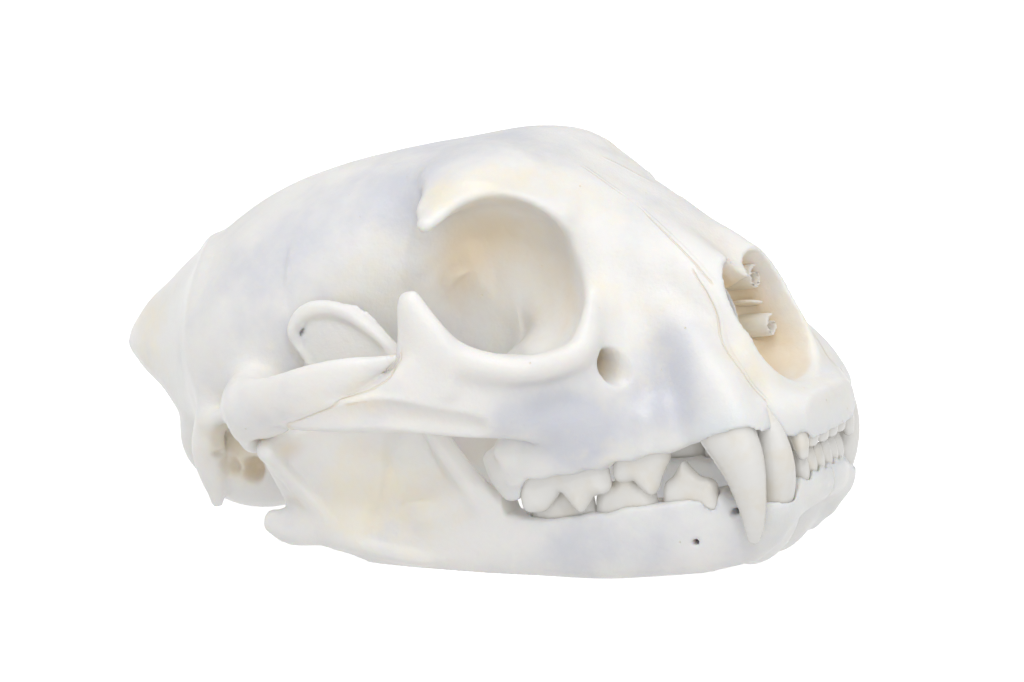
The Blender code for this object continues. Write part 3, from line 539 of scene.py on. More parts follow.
# Bars and swellings: the direction of their height, how softly they join, and rows of lateral, back, up,
# half width and half height.
CRANIUM_BARS = {
    "shelf over the orbit": ((0.3, 0, 1), 4, [
        (9, 44, 41.6, 6.5, 2.6), (17, 46.8, 40.6, 5.6, 2.4), (23, 48.2, 38.5, 3.2, 1.5),
        (26.6, 48.2, 37.2, 1, 0.6)]),
    "orbit rim": ((0.25, -0.25, 1), 3, [
        (13, 33.5, 34.4, 2.6, 2.4), (15.8, 37.6, 37, 3, 2.1), (20, 42, 38.1, 3, 1.7),
        (24.6, 45.6, 37.9, 1.9, 0.9), (27.4, 47.6, 37, 0.6, 0.4)]),
    "jugal": (UP, 3.5, [
        (20, 28.5, 7, 3.5, 6), (24.5, 32.5, 9.2, 3, 6.9), (29.5, 37, 10.9, 2.6, 6.4),
        (34, 42.5, 12.2, 2.3, 6), (37.4, 47.6, 13.4, 2.1, 5.6), (39.3, 52, 13, 2, 4.4),
        (40.9, 58, 12.3, 1.9, 2.9), (41.3, 63, 12, 1.7, 2), (41.2, 68, 11.7, 1.3, 1.1),
        (40.9, 70.2, 11.6, 0.8, 0.5)]),
    "jugal's upper process": (BACK, 1.6, [
        (36.6, 46, 13.5, 1.4, 4), (36.6, 46.2, 18, 1.6, 4.8), (35.9, 46.8, 22, 1.3, 3.9),
        (35.4, 47.6, 25.2, 1, 2.7), (34.9, 48.1, 27.9, 0.7, 1.5)]),
    "orbit's lower rim": (UP, 2.4, [
        (16.4, 30.6, 23.6, 1.5, 1.6), (19.4, 28, 19.4, 1.8, 1.8), (22.6, 27.4, 16.2, 2, 2),
        (26.6, 29.6, 14.8, 2, 2), (31, 33.6, 15, 2, 2), (34.2, 39.2, 17, 1.8, 2.1),
        (35.2, 43, 19.6, 1.6, 2), (35.6, 45.8, 22.8, 1.3, 1.7), (35.3, 47.8, 26.4, 0.9, 1.1)]),
    "bone over the cheek teeth": (UP, 2.5, [
        (16.9, 18.5, 1.4, 2.6, 5.6), (17.6, 22, 1.2, 2.8, 6), (18.9, 27, 1, 2.8, 6),
        (20.6, 30, 0.9, 2.9, 6), (22, 34.5, 0.8, 2.9, 6), (23.3, 38.2, 1, 2.8, 5.8),
        (23.8, 40.2, 1.8, 2.4, 4.6)]),
    "bone over the incisors": (UP, 2.5, [
        (-3, 2, -0.2, 2.2, 3.4), (3, 2, -0.2, 2.2, 3.4), (6.5, 2.7, 0, 2.2, 3.5), (9.4, 4, 0.4, 2.4, 3.6),
        (12, 6.2, 1, 2.6, 3.8)]),
    "upper jaw behind the teeth": (UP, 3, [
        (23.2, 34, 1, 2, 3), (24.2, 37.4, 0.4, 1.9, 3.1), (25, 39.6, 1, 1.6, 3.1),
        (26.2, 40.6, 3.4, 1.4, 3)]),
    "root of the squamosal": (UP, 4, [
        (37.2, 78.4, 14, 3.2, 3.6), (32.5, 81.5, 14.2, 3.4, 3.6), (25, 84.5, 15, 3, 3.4)]),
    "squamosal process": (UP, 0.7, [
        (37.2, 78.6, 14.2, 2.6, 3.9), (39.6, 73, 14.6, 2.3, 3.8), (41.2, 67.5, 15.5, 2, 3.8),
        (41.7, 61.5, 17, 1.7, 3.4), (41, 56, 18.3, 1.5, 2.4), (39.8, 51.6, 19.2, 1.1, 1.1),
        (39.3, 49.6, 19.8, 0.7, 0.5)]),
    "roof of the jaw joint": (UP, 3, [
        (37, 78, 13, 3, 3), (31, 80.5, 12.5, 3.6, 3.2), (23, 82.5, 12, 3.5, 3.5)]),
    "front lip of the jaw joint": (UP, 1.4, [
        (38.4, 77.4, 12, 1.8, 2.8), (38.4, 74.6, 11.2, 1.6, 2.2), (38.4, 71.6, 11.4, 1.3, 1.7)]),
    "lip behind the jaw joint": (UP, 2, [
        (36.6, 79.8, 11, 1.6, 3), (34.5, 80.6, 8.8, 1.5, 2.4), (29, 81.4, 8, 1.4, 2.4),
        (24, 82, 8.4, 1.4, 2.4)]),
    "mastoid and paroccipital process": (BACK, 1.6, [
        (22, 92.5, 13, 3, 3.4), (24, 94.4, 9.4, 2.2, 2.6), (23.8, 95.8, 6, 2, 2.8),
        (23.2, 96.6, 3, 1.8, 2.6), (22.6, 97, 0.2, 1.5, 2), (21.8, 97.4, -2, 1.2, 1.4),
        (21.4, 97.8, -3.6, 0.9, 1)]),
    "crest over the ear": (UP, 2, [
        (25.2, 93.6, 9.6, 1.2, 1.2), (27.2, 90.4, 10.8, 1.3, 1.2), (29.6, 87, 11.6, 1.5, 1.4),
        (33, 83.4, 12.4, 2, 2)]),
    "pterygoid plate": (UP, 1.5, [
        (9.6, 46, 2.4, 1.4, 7.6), (8.8, 52, 0.8, 1.3, 9.2), (8.2, 57.4, 0.4, 1.2, 8.4),
        (7.7, 62, 0.4, 1.1, 6), (7.4, 66, -1.4, 1, 2.8)]),
    "bone behind the last upper tooth": (BACK, 2, [
        (25, 43.2, 1, 1.7, 3), (24.8, 42.8, -2, 1.6, 2.8), (24.4, 42.4, -4.6, 1.3, 2)]),
    "floor of the orbit": (UP, 4, [
        (14.5, 30, 16.5, 4, 4), (15.5, 36, 14.5, 4, 4), (14.5, 43, 11.5, 3.5, 4)]),
    "swelling over the canine root": (BACK, 2.5, [
        (15.6, 8.6, -3, 3.9, 5.2), (15.4, 9.6, 1, 3.9, 5.2), (14.6, 11, 5, 3.7, 4.9),
        (13.6, 12.8, 9, 3.1, 4), (12.2, 16, 14, 2.5, 3.3), (10.6, 19.5, 18.5, 2, 2.4)]),
}
# Rounded forms: centre, radii, tilt in degrees, and how softly they join.
CRANIUM_BALLS = {
    "ear bulla": ((14.2, 91.5, 1.8), (7.6, 12, 8.2), (0, 0, -12), 1.5),
    "condyle of the neck joint": ((8.6, 106.6, 3.4), (3.9, 3.9, 6.2), (0, 20, 0), 2),
}
# Low crests, and shallow furrows with a height below zero: rows of lateral, back, up, height and width.
CRANIUM_RELIEF = {
    "front root of the third premolar": [(19.8, 21.3, 4.4, 0.4, 1.5), (20.2, 21.3, -1, 0.5, 1.4)],
    "rear root of the third premolar": [(21.2, 25.9, 4.4, 0.4, 1.5), (21.6, 25.9, -1, 0.5, 1.4)],
    "front root of the fourth premolar": [(22.8, 29.9, 4, 0.4, 1.5), (23.3, 29.9, -1.4, 0.5, 1.4)],
    "middle of the fourth premolar": [(24.4, 34, 4, 0.35, 1.6), (24.8, 34, -1.4, 0.45, 1.6)],
    "rear root of the fourth premolar": [(25.6, 38.3, 4, 0.45, 1.7), (26, 38.4, -1.4, 0.5, 1.6)],
    "temporal line": [
        (24, 50.4, 39.4, 0.4, 1.8), (17, 52, 42.2, 0.4, 2.2), (12, 57, 44.1, 0.35, 2.4),
        (9, 66, 44.8, 0.3, 2.4), (7, 78, 43.5, 0.3, 2.4), (7.4, 88, 40.6, 0.3, 2.4),
        (10, 95, 37.2, 0.3, 2.4)],
    "furrow outside the temporal line": [
        (20, 55, 38.6, -0.2, 3), (16, 60, 41, -0.2, 3), (13.5, 68, 42, -0.18, 3), (12, 78, 41.2, -0.18, 3),
        (13, 88, 37.8, -0.18, 3), (17, 93, 33.6, -0.15, 3)],
    "crest over the back of the head": [
        (2, 104, 34.8, 0.7, 2.6), (8, 99.4, 35.8, 0.9, 3.2), (13, 97.2, 34.2, 0.9, 3.8),
        (17.5, 96, 31.6, 0.7, 4), (21, 95.6, 27.4, 0.6, 4), (23.6, 95.2, 21.6, 0.6, 4),
        (24.6, 94.8, 16, 0.6, 3.6), (24.8, 94.2, 11, 0.6, 3)],
    "lip along the cheek arch": [
        (42.8, 66, 13.4, 0.3, 1.1), (42.9, 59, 14.4, 0.4, 1.1), (42.2, 54, 14.4, 0.45, 1.2),
        (41.2, 50, 13.8, 0.45, 1.2), (40, 47, 12.4, 0.45, 1.3), (38.4, 44, 11.2, 0.4, 1.3),
        (36, 41, 10.4, 0.2, 1.4)],
    "hollow under the orbit": [(28, 33.6, 9, -0.6, 3.4), (25, 30.5, 9, -0.8, 3.6), (21.6, 27, 7, -0.5, 3)],
    "recess at the top of the orbit": [
        (13.5, 42.5, 34.5, -0.8, 4), (13.2, 44.4, 32, -1.4, 4.5), (13, 42.5, 27, -0.5, 3.5)],
    "recess at the back of the orbit": [
        (12.5, 56, 29, -0.7, 4), (13, 54.5, 25, -0.6, 4), (13.5, 54, 20, -0.3, 4)],
    "pillar in the orbit": [(13.4, 49.4, 31, 0.5, 2.6), (13, 48.6, 27, 0.9, 2.8), (12.6, 47, 21, 0.6, 3)],
    "ridge in front of the ear": [
        (30, 84, 12, 0.4, 1.2), (27.4, 88, 9.6, 0.5, 1.2), (25.8, 89.4, 4, 0.3, 1.2)],
    "small ridge in the orbit": [
        (14.4, 50.2, 27.6, 0.5, 1.1), (14.6, 51.8, 27.2, 0.8, 1.1), (14.8, 53.4, 26, 0.4, 1.1)],
    "hollow beside the nose": [
        (17, 19, 18, -0.5, 4), (17.2, 19.4, 12, -0.8, 4), (18, 20.5, 6.5, -0.6, 3.4)],
}
# The barrel-shaped head of the lower jaw, which the cranium's joint is cut to fit.
CONDYLE = [
    (23.6, 76.8, 6, 2, 2), (27, 76.7, 6.7, 2.6, 2.7), (33, 76.4, 7, 2.6, 2.7), (36.8, 76.2, 6.8, 1.7, 1.9),
]
JOINT_GAP = 0.35

# Rounded hollows, listed as the rounded forms are.
ORBIT_AND_THROAT = {
    "orbit": ((22, 40, 27.8), (12.2, 11.2, 11.6), (0, 0, 0), 1.6),
    "lower front corner of the orbit": ((22, 36, 24.2), (8.4, 8.4, 8.4), (0, 0, 0), 2.4),
    "throat": ((0, 56, 3), (6.4, 11.5, 6.5), (0, 0, 0), 1),
}
EAR_HOLLOWS = {
    "hollow above the bulla": ((25.4, 89.6, 6.4), (3.4, 4, 2.8), (0, 0, 0), 1.5),
    "ear opening": ((22, 90.2, 1), (3.6, 1.8, 2.1), (20, 0, 0), 1.2),
    "opening behind the ear": ((23, 93.2, 1.9), (2.6, 1, 1.5), (-15, 0, 0), 0.8),
    "small opening above it": ((24.4, 93.8, 4.4), (1.4, 0.9, 0.6), (30, 0, 0), 0.4),
}
# Long hollows: how softly their rims are rounded, and rows of lateral, back, up, half width, half height.
CRANIUM_HOLLOWS = {
    "nasal cavity": (0.7, [
        (0, -2, 11.8, 8.2, 6.9), (0, 8.6, 12.2, 8.2, 7.2), (0, 11.4, 13.2, 7.2, 6.6),
        (0, 13.8, 14, 4.8, 5)]),
    "upper nasal opening": (0.5, [
        (4.15, 0, 17, 4.5, 7.2), (4.15, 10.4, 16.8, 4.5, 7.2), (3.9, 12.8, 17.8, 3.7, 5.8),
        (3.4, 14.8, 18.8, 2.2, 3.6)]),
    "infraorbital canal": (0.6, [
        (20.4, 18.4, 12, 2.1, 2.9), (20.2, 23.2, 12.3, 2, 2.8), (19.2, 27.5, 13, 1.7, 2.2),
        (17.6, 32, 14.8, 1.6, 2)]),
    "muscle scar under the lip of the arch": (0.35, [
        (44.6, 67, 11.4, 1.5, 1.4), (44.8, 61, 11.9, 2.1, 2), (44.2, 56, 12, 2.3, 2.2),
        (43, 52, 11.9, 2.5, 2.3), (41.6, 48.6, 11, 2.6, 2.3), (39.9, 45.2, 9.6, 2.5, 2.2),
        (37.6, 42.2, 8.4, 2.2, 1.9), (35, 40.2, 7.4, 1.6, 1.4)]),
    "opening for the spinal cord": (1.0, [
        (0, 92, 15, 6, 5), (0, 100, 12.4, 7, 5.6), (0, 110, 9.4, 7, 5.4), (0, 120, 7, 7, 5.6)]),
}

# Upper teeth, which need sockets in the bone. Single teeth are columns from the root to the tip: lateral,
# back, up, half width, half length. Cheek teeth have the tooth row's line, the half width, the depth of the
# swelling from the edge, and the side view's points, back and up.
UPPER_SINGLES = {
    "upper_incisor_1": [
        (1.6, 2.8, 2, 0.8, 1), (1.6, 2.1, -0.8, 1.2, 1.2), (1.6, 1.5, -2.8, 1.62, 1),
        (1.6, 1.5, -4.1, 1.5, 0.6)],
    "upper_incisor_2": [
        (4.6, 3, 2, 0.8, 1), (4.65, 2.3, -0.8, 1.2, 1.3), (4.75, 1.7, -2.8, 1.6, 1.1),
        (4.75, 1.7, -4.1, 1.45, 0.6)],
    "upper_incisor_3": [
        (7.4, 4.4, 2.4, 0.9, 1.3), (7.7, 2.9, -0.4, 1.25, 1.5), (7.9, 2.1, -3.2, 1.35, 1.3),
        (8, 2, -5.2, 0.9, 0.8)],
    "upper_canine": [
        (14, 14, 8, 1.5, 2), (15, 12, 4, 2.4, 3.3), (15.8, 9.8, 0.6, 2.95, 4.3),
        (15.7, 8.5, -2.8, 2.75, 3.9), (15.4, 7.9, -7.2, 2.25, 2.95), (15, 8, -11.7, 1.6, 2.05),
        (14.7, 8.5, -14.6, 1.15, 1.45), (14.5, 8.9, -16, 0.8, 1)],
    "upper_molar_1": [
        (20.4, 42.4, 2, 1.4, 0.8), (20.4, 42.2, -0.6, 1.9, 0.9), (20.4, 42.2, -1.8, 1.4, 0.6)],
}
UPPER_CHEEK_TEETH = {
    "upper_premolar_3": ((12.2, 0.24), 1.65, 2.1, [
        (27, 1.6), (27.6, -1.8), (28, -3.8), (27.6, -5), (26.4, -5.5), (25.2, -5.3), (24.5, -6.2),
        (23.5, -7.4), (22.6, -7.8), (21.7, -6.9), (21, -5.4), (20.1, -3.9), (19.2, -2.2), (19.3, 1.6)]),
    "upper_premolar_4": ((12.1, 0.285), 1.8, 2.3, [
        (39.4, 1.2), (40.6, -2), (41.3, -4), (41.4, -6.2), (40.8, -7.8), (38.6, -8.1), (37.3, -7.3),
        (36.2, -6.1), (35.5, -5.5), (34.7, -6.5), (33.9, -8), (32.9, -8.9), (31.8, -7.9), (31, -6.9),
        (30.1, -6.6), (28.8, -6.4), (28.1, -5.3), (28.1, -3.8), (28.2, -2), (28.6, 1.2)]),
}
SOCKET_GAP = 0.03
THINNEST = 0.5  # bone left thinner than this beside a cut is taken away with it
# Where the bone ends and the crowns begin: back, height at the side, height at the front teeth.
UPPER_GUM = [
    (-6, -2.6, -3.5), (2.5, -2.2, -3.5), (5.2, 1.2, -1.8), (7.3, 1.1, -1), (10.8, 0.4, -0.8),
    (14.1, -0.6, -0.8), (18.4, -1.6, -1), (21.2, -1.3, -1.3), (23.7, -2.1, -2.1), (26, -1.6, -1.6),
    (28, -2.8, -2.8), (30, -2.2, -2.2), (31.8, -2.8, -2.8), (34, -2.3, -2.3), (36.3, -2.8, -2.8),
    (38.5, -2.3, -2.3), (40, -3.4, -3.4), (41.2, -8, -8), (43.5, -11, -11),
]

bone = Solid((0.5 * BONE_STEP, -4, -11), (46, 128, 52), BONE_STEP)
bone.loft(VAULT)
for tall, blend, path in CRANIUM_BARS.values():
    bone.tube(path, tall, steps=30, blend=blend)
for centre, radii, tilt, blend in CRANIUM_BALLS.values():
    bone.ball(centre, radii, tilt, blend)
for path in CRANIUM_RELIEF.values():
    bone.relief(path, steps=40)
uncut_bone = bone.copied()
for centre, radii, tilt, blend in ORBIT_AND_THROAT.values():
    bone.ball(centre, radii, tilt, blend, cut=True)
for blend, path in CRANIUM_HOLLOWS.values():
    bone.tube(path, UP, steps=30, blend=blend, cut=True, wall=THINNEST)
for centre, radii, tilt, blend in EAR_HOLLOWS.values():
    bone.ball(centre, radii, tilt, blend, cut=True)

# The braincase is the same loft again, drawn in by the wall's thickness.
inside = []
for back, outline in VAULT:
    if BRAINCASE_FRONT <= back <= BRAINCASE_BACK:
        centre = np.array([0, (outline[0][1] + outline[-1][1]) / 2])
        reach = np.array(outline, float) - centre
        shrink = 1 - BRAINCASE_WALL / np.linalg.norm(reach, axis=1)
        inside.append((back, centre + reach * shrink[:, None]))
bone.loft(inside, blend=1, cut=True)
bone.tube(CONDYLE, UP, steps=12, blend=0.6, grow=JOINT_GAP, cut=True)
bone.trimmed(UPPER_GUM, below=True, blend=1)
for column in UPPER_SINGLES.values():
    bone.tube(column, BACK, steps=24, blend=0.2, grow=SOCKET_GAP, cut=True)
for row, half_width, swell, outline in UPPER_CHEEK_TEETH.values():
    bone.crown(outline, row, half_width, swell, blend=0.2, grow=SOCKET_GAP, cut=True)
whole = bone.mirrored()
points, faces = whole.skin()
cranium = new_piece("cranium_bone", points, faces)
thin_out(cranium, CRANIUM_TRIANGLES)


class Paint:
    """One material's nodes. node() adds any node, and what it gives back takes part in arithmetic."""

    def __init__(self, name):
        self.material = bpy.data.materials.new(name)
        self.material.use_nodes = True
        self.tree = self.material.node_tree
        self.shader = self.tree.nodes["Principled BSDF"]

    def feed(self, socket, value):
        """Gives a socket a number or a colour, or links it to an amount."""
        if isinstance(value, Amount):
            self.tree.links.new(value.socket, socket)
        else:
            socket.default_value = value

    def node(self, kind, settings=(), values=(), output=0):
        """A new node of this kind, with its settings made first and then its sockets fed."""
        made = self.tree.nodes.new("ShaderNode" + kind)
        for name, value in dict(settings).items():
            setattr(made, name, value)
        for name, value in dict(values).items():
            self.feed(made.inputs[name], value)
        return Amount(self, made.outputs[output])

    def shade(self, values):
        """Feeds the shader's own sockets."""
        for name, value in values.items():
            self.feed(self.shader.inputs[name], value)

    def bumps(self, height, strength):
        """The direction of a surface raised by a height in millimetres."""
        values = {"Height": height, "Distance": MM, "Strength": strength}
        return self.node("Bump", values=values, output="Normal")

    def attribute(self, name):
        """A number stored on the piece's points."""
        return self.node("Attribute", {"attribute_name": name}, output="Fac")

    def mixed(self, share, first, second):
        """A colour between two others."""
        return self.node("Mix", {"data_type": "RGBA"}, {0: share, 6: first, 7: second}, 2)


class Amount:
    """A socket that carries a number. Arithmetic on it adds Math nodes."""

    def __init__(self, paint, socket):
        self.paint, self.socket = paint, socket

    def math(self, operation, *others):
        """A Math node whose first number is this amount."""
        return self.paint.node("Math", {"operation": operation}, enumerate((self, *others)))

    def __add__(self, other):
        return self.math("ADD", other)

    def __sub__(self, other):
        return self.math("SUBTRACT", other)

    def __rsub__(self, other):
        return self.paint.node("Math", {"operation": "SUBTRACT"}, {0: other, 1: self})

    def __mul__(self, other):
        return self.math("MULTIPLY", other)

    __radd__, __rmul__ = __add__, __mul__

    def size(self):
        """The amount without its sign."""
        return self.math("ABSOLUTE")

    def rise(self, low, high):
        """0 below 'low', 1 above 'high', and a soft step between them."""
        values = {"Value": self, "From Min": low, "From Max": high}
        return self.paint.node("MapRange", {"interpolation_type": "SMOOTHSTEP"}, values)


def noise(paint, per_mm, detail=3.0, roughness=0.55):
    """Even noise in the piece's own space, with about 'per_mm' features in a millimetre."""
    place = paint.node("TexCoord", output="Object")
    values = {"Vector": place, "Scale": per_mm / MM, "Detail": detail, "Roughness": roughness}
    return paint.node("TexNoise", values=values)


# The cream and the yellow-brown below also colour the painted warm shade in hollows and far inside openings.
WHITE = (0.84, 0.83, 0.81, 1)
CREAM_AND_WARM_SHADE = (0.86, 0.81, 0.69, 1)
TAN_BONE_AND_SHADE = (0.80, 0.67, 0.48, 1)
COOL = (0.65, 0.66, 0.71, 1)


def bone_material(name, seams=()):
    """Bleached bone: white, with cool and cream areas, pores and fine grain, and painted warm shade.

    The painted shade is cream and yellow-brown in the hollows and far inside the openings, and edges are left
    whiter as painted light. Each seam is a thin yellow-brown line with a raised lip beside it."""
    paint = Paint(name)
    mottle = noise(paint, 0.1, 4)
    cloud = noise(paint, 0.3, 3)
    fine = noise(paint, 1.1, 4, 0.65)
    # 'hollow' and 'deep' paint warm shade: cream and yellow-brown in hollows and far inside the openings, and
    # whiter bone on edges as painted light.
    hollow = paint.attribute("hollow")
    deep = paint.attribute("deep").rise(0.7, 5)
    cool = (paint.attribute("cool") + (mottle - 0.5) * 1.6 + 0.1).rise(0.0, 1.1)
    colour = paint.mixed(cool, WHITE, COOL)
    cream = (paint.attribute("cream") + hollow * 1.5 + (cloud - 0.5) * 1.4 + 0.15).rise(0.0, 1.1)
    colour = paint.mixed(cream, colour, CREAM_AND_WARM_SHADE)
    tan_and_shade = (paint.attribute("tan_and_shade") + deep * 0.6 + hollow * 1.2 + (mottle - 0.5) * 0.9).rise(0.05, 1.5)
    colour = paint.mixed(tan_and_shade, colour, TAN_BONE_AND_SHADE)
    place = paint.node("TexCoord", output="Object")
    cells = {"Vector": place, "Scale": 0.35 / MM}
    between_pores = paint.node("TexVoronoi", values=cells, output="Distance").rise(0.03, 0.07)
    pore = (1 - between_pores) * cloud.rise(0.52, 0.62)
    colour = paint.mixed(pore * 0.5, colour, TAN_BONE_AND_SHADE)
    height = fine * 0.1 + cloud * 0.14 + mottle * 0.2 - pore * 0.15
    for seam in seams:
        near = paint.attribute(seam + "_near").rise(0.4, 0.9)
        offset = paint.attribute(seam) + (cloud - 0.5) * 0.3
        line = (1 - offset.size().rise(0.04, 0.24)) * near
        lip = (1 - (offset - 0.4).size().rise(0.1, 0.5)) * near
        colour = paint.mixed(line * 0.35, colour, TAN_BONE_AND_SHADE)
        height = height - line * 0.12 + lip * 0.1
    paint.shade({
        "Base Color": colour,
        "Roughness": 0.22 + fine * 0.22,
        "Normal": paint.bumps(height, 0.9),
        "IOR": 1.5,
        "Subsurface Weight": 0.5,
        "Subsurface Radius": (1, 0.72, 0.42),
        "Subsurface Scale": 2.5 * MM,
    })
    return paint.material


# Sutures between the bones, as lines on the surface: lateral, back, up.
SUTURES = {
    "jugal_suture": [
        (41, 69.5, 11.3), (41.5, 60.7, 13.9), (40.5, 53.1, 15.4), (39.5, 50.2, 17.3), (39, 49.9, 20.1)],
    "nasal_suture": [(4, 31.8, 40.1), (6, 23, 35.5), (7, 20.5, 32.4), (8, 16.6, 27.7), (9, 12.7, 23)],
    "premaxilla_suture": [
        (10, 13.5, 23), (11, 10.9, 18), (12, 9.7, 12.9), (12.5, 7.1, 7.5), (12, 5.9, 4.3)],
}
# Soft spots of colour, the same on both sides: centre, radii and strength.
CREAM_SPOTS = [
    ((23, 47, 40.5), (7, 7, 4.5), 1), ((16, 40, 40.5), (7, 8, 4), 0.9), ((11, 30, 35), (6, 8, 6), 0.4),
    ((38, 52, 20), (5, 9, 9), 0.5), ((41, 60, 14), (4, 14, 5), 0.8), ((37, 72, 15), (5, 9, 6), 0.6),
    ((22, 60, 28), (8, 14, 14), 0.6), ((25, 78, 20), (8, 16, 12), 0.35), ((6, 114, 22), (12, 12, 12), 0.7),
    ((10, 7, 10), (5, 6, 10), 0.8), ((0, 2, 0), (12, 5, 6), 0.7), ((22, 30, -1), (5, 10, 4), 0.7),
    ((24, 92, 6), (8, 8, 10), 0.7), ((17, 25, 24), (5, 8, 8), 0.3),
]
COOL_SPOTS = [
    ((0, 50, 47), (16, 28, 6), 0.7), ((18, 58, 41.5), (8, 9, 8), 1.1), ((17, 70, 40), (8, 12, 8), 0.4),
    ((22, 82, 33), (8, 14, 10), 0.6), ((27, 84, 22), (5, 14, 10), 0.25), ((23.5, 31, 4), (5, 7, 6), 1.6),
    # The spot at (41, 55, 11.6) is painted shade on the strip that faces down under the cheek arch.
    ((28, 36, 8), (8, 8, 5), 0.9), ((41, 55, 11.6), (3, 11, 2), 0.35), ((17, 17, 13), (5, 6, 9), 1),
    ((18, 20, 5), (7, 9, 5), 0.6), ((3, 20, 34), (8, 14, 5), 0.3),
]
# Yellow-brown: mostly painted warm shade, in the orbits, the nose, the ear openings, the jaw joint, the
# throat, the palate and on the strip that faces down under the cheek arch, and in a few places yellower bone.
TAN_AND_SHADE_SPOTS = [
    ((9, 22, -1), (7, 12, 4), 1.2), ((15, 50, 31), (7, 5, 7), 0.8), ((13, 44, 33.5), (9, 7, 7), 0.75),
    ((12.5, 56, 27), (8, 7, 9), 0.7), ((14, 42, 26), (8, 12, 12), 0.45), ((0, 14, 16), (13, 14, 16), 0.7),
    ((0, 22, 14), (12, 12, 14), 0.8), ((24, 91, 4), (8, 8, 9), 0.7), ((22, 90.4, 1), (4, 3, 3), 0.6),
    ((30, 79, 8), (8, 7, 5), 0.9), ((38, 47, 11), (5, 6, 2.6), 0.4), ((26, 52, 6), (12, 9, 9), 0.7),
    ((10, 99, 6), (8, 9, 8), 0.4), ((22, 34, -3), (4, 12, 2.4), 0.5), ((17, 72, 14), (9, 16, 9), 0.5),
    ((8, 54, -1), (5, 12, 5), 1), ((37, 75.5, 8.8), (4, 4, 2), 1.2), ((11, 106, 4.5), (3, 3, 3.5), 0.8),
    ((42, 60, 12), (3, 8, 1.8), 0.35), ((40, 50, 10.6), (3, 5, 2.2), 0.4),
    ((37, 44, 8.4), (4, 4, 2.4), 0.4),
]


def mesh_normals(piece):
    """The directions in which the surface faces at the piece's points, turned back to the skull's frame."""
    flat = np.empty(len(piece.data.vertices) * 3, np.float32)
    piece.data.vertices.foreach_get("normal", flat)
    lateral, along, height = flat.reshape(-1, 3).astype(float).T
    back = along * math.cos(NOSE_UP) - height * math.sin(NOSE_UP)
    up = along * math.sin(NOSE_UP) + height * math.cos(NOSE_UP)
    return np.stack([lateral, back, up], axis=1)


def finish_bone(piece, solid, uncut=None, seams=(), cream=(), cool=(), tan_and_shade=()):
    """Stores what the bone material reads, and gives the piece its material.

    'deep' is how far a point lies below the surface that the bone had before its openings were cut. The
    cranium's grid holds both halves. The others begin near the middle, so all points are read on one side."""
    points = vertex_places(piece)
    one_side = on_one_side(points)
    both_halves = solid.low[0] < -5
    # 'hollow' and 'deep' are read by the material as painted warm shade in hollows and openings, and whiter
    # edges.
    store(piece, "hollow", hollowness(solid, points if both_halves else one_side))
    store(piece, "deep", np.maximum(-uncut.read(one_side), 0) if uncut else np.zeros(len(points)))
    store(piece, "cream", patches(points, cream))
    store(piece, "cool", patches(points, cool))
    store(piece, "tan_and_shade", patches(points, tan_and_shade))
    normals = mesh_normals(piece)
    for name, path in dict(seams).items():
        signed, presence = seam_distance(points, normals, path)
        store(piece, name, signed)
        store(piece, name + "_near", presence)
    piece.data.materials.clear()
    piece.data.materials.append(bone_material(piece.name + "_finish", seams))


finish_bone(cranium, whole, uncut_bone, SUTURES, CREAM_SPOTS, COOL_SPOTS, TAN_AND_SHADE_SPOTS)
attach(cranium, "root")
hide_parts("cranium")

# Nasal scrolls
# Inside the nose stand the septum, a thin upright plate, and on each side paper-thin scrolls of bone that
# hang from the outer wall. They are part of the cranium and reach to just behind the nasal opening.

SCROLL_HALF_THICKNESS = 0.32
SCROLLS_FRONT = 10.6  # behind the front of the upper jaw
SCROLL_STEP = 0.25  # of the grid
SCROLL_TRIANGLES = 16000
# Painted warm shade, yellow-brown, over the scrolls deep inside the nose.
SCROLL_TAN_AND_SHADE = [((5, 16, 16), (12, 12, 18), 1.3)]


def scroll(lateral, up, widest, tightest, turns, back, half_length):
    """A spiral in the plane across the nose, with its radius shrinking evenly from end to end."""
    turn = math.radians(80) + np.linspace(0, turns * 2 * math.pi, 16)
    reach = np.linspace(widest, tightest, 16)
    return [
        (lateral + r * math.cos(t), back, up + r * math.sin(t), SCROLL_HALF_THICKNESS, half_length)
        for r, t in zip(reach, turn)
    ]


scrolls = Solid((-1.4, 6, 2), (9.4, 34, 30), SCROLL_STEP)
scrolls.ball((0, 21, 14), (0.5, 8, 10), blend=0.4)
upper_scroll = scroll(lateral=6, up=19.6, widest=1.9, tightest=0.9, turns=0.9, back=17, half_length=5)
lower_scroll = scroll(lateral=6.2, up=12, widest=1.8, tightest=0.8, turns=0.9, back=15.6, half_length=5)
scrolls.tube(upper_scroll, BACK, steps=40, blend=0.3)
scrolls.tube(lower_scroll, BACK, steps=36, blend=0.3)
scrolls.ball((6.2, 15, 15.8), (2, 3, 0.4), (0, 20, 0), blend=0.5)
scrolls.flattened((-9, -9, -9), (99, 99, 99), axis=1, at=SCROLLS_FRONT, blend=0.3)
points, faces = scrolls.skin()
for side, label in SIDES:
    piece = new_piece(f"nasal_scrolls_{label}", points, faces, side)
    thin_out(piece, SCROLL_TRIANGLES)
    finish_bone(piece, scrolls, tan_and_shade=SCROLL_TAN_AND_SHADE)
    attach(piece, "root")

# Lower jaw
# The two halves of the lower jaw meet at the chin and stay separate bones in a cat. Each has a tall blade,
# the coronoid process, a barrel-shaped condyle in the jaw joint, and a deep hollow for the chewing muscle.

JAW_STEP = 0.4  # of the grid
JAW_TRIANGLES = 90000
HALF_GAP = 0.12  # from the middle to each half's flat face at the chin
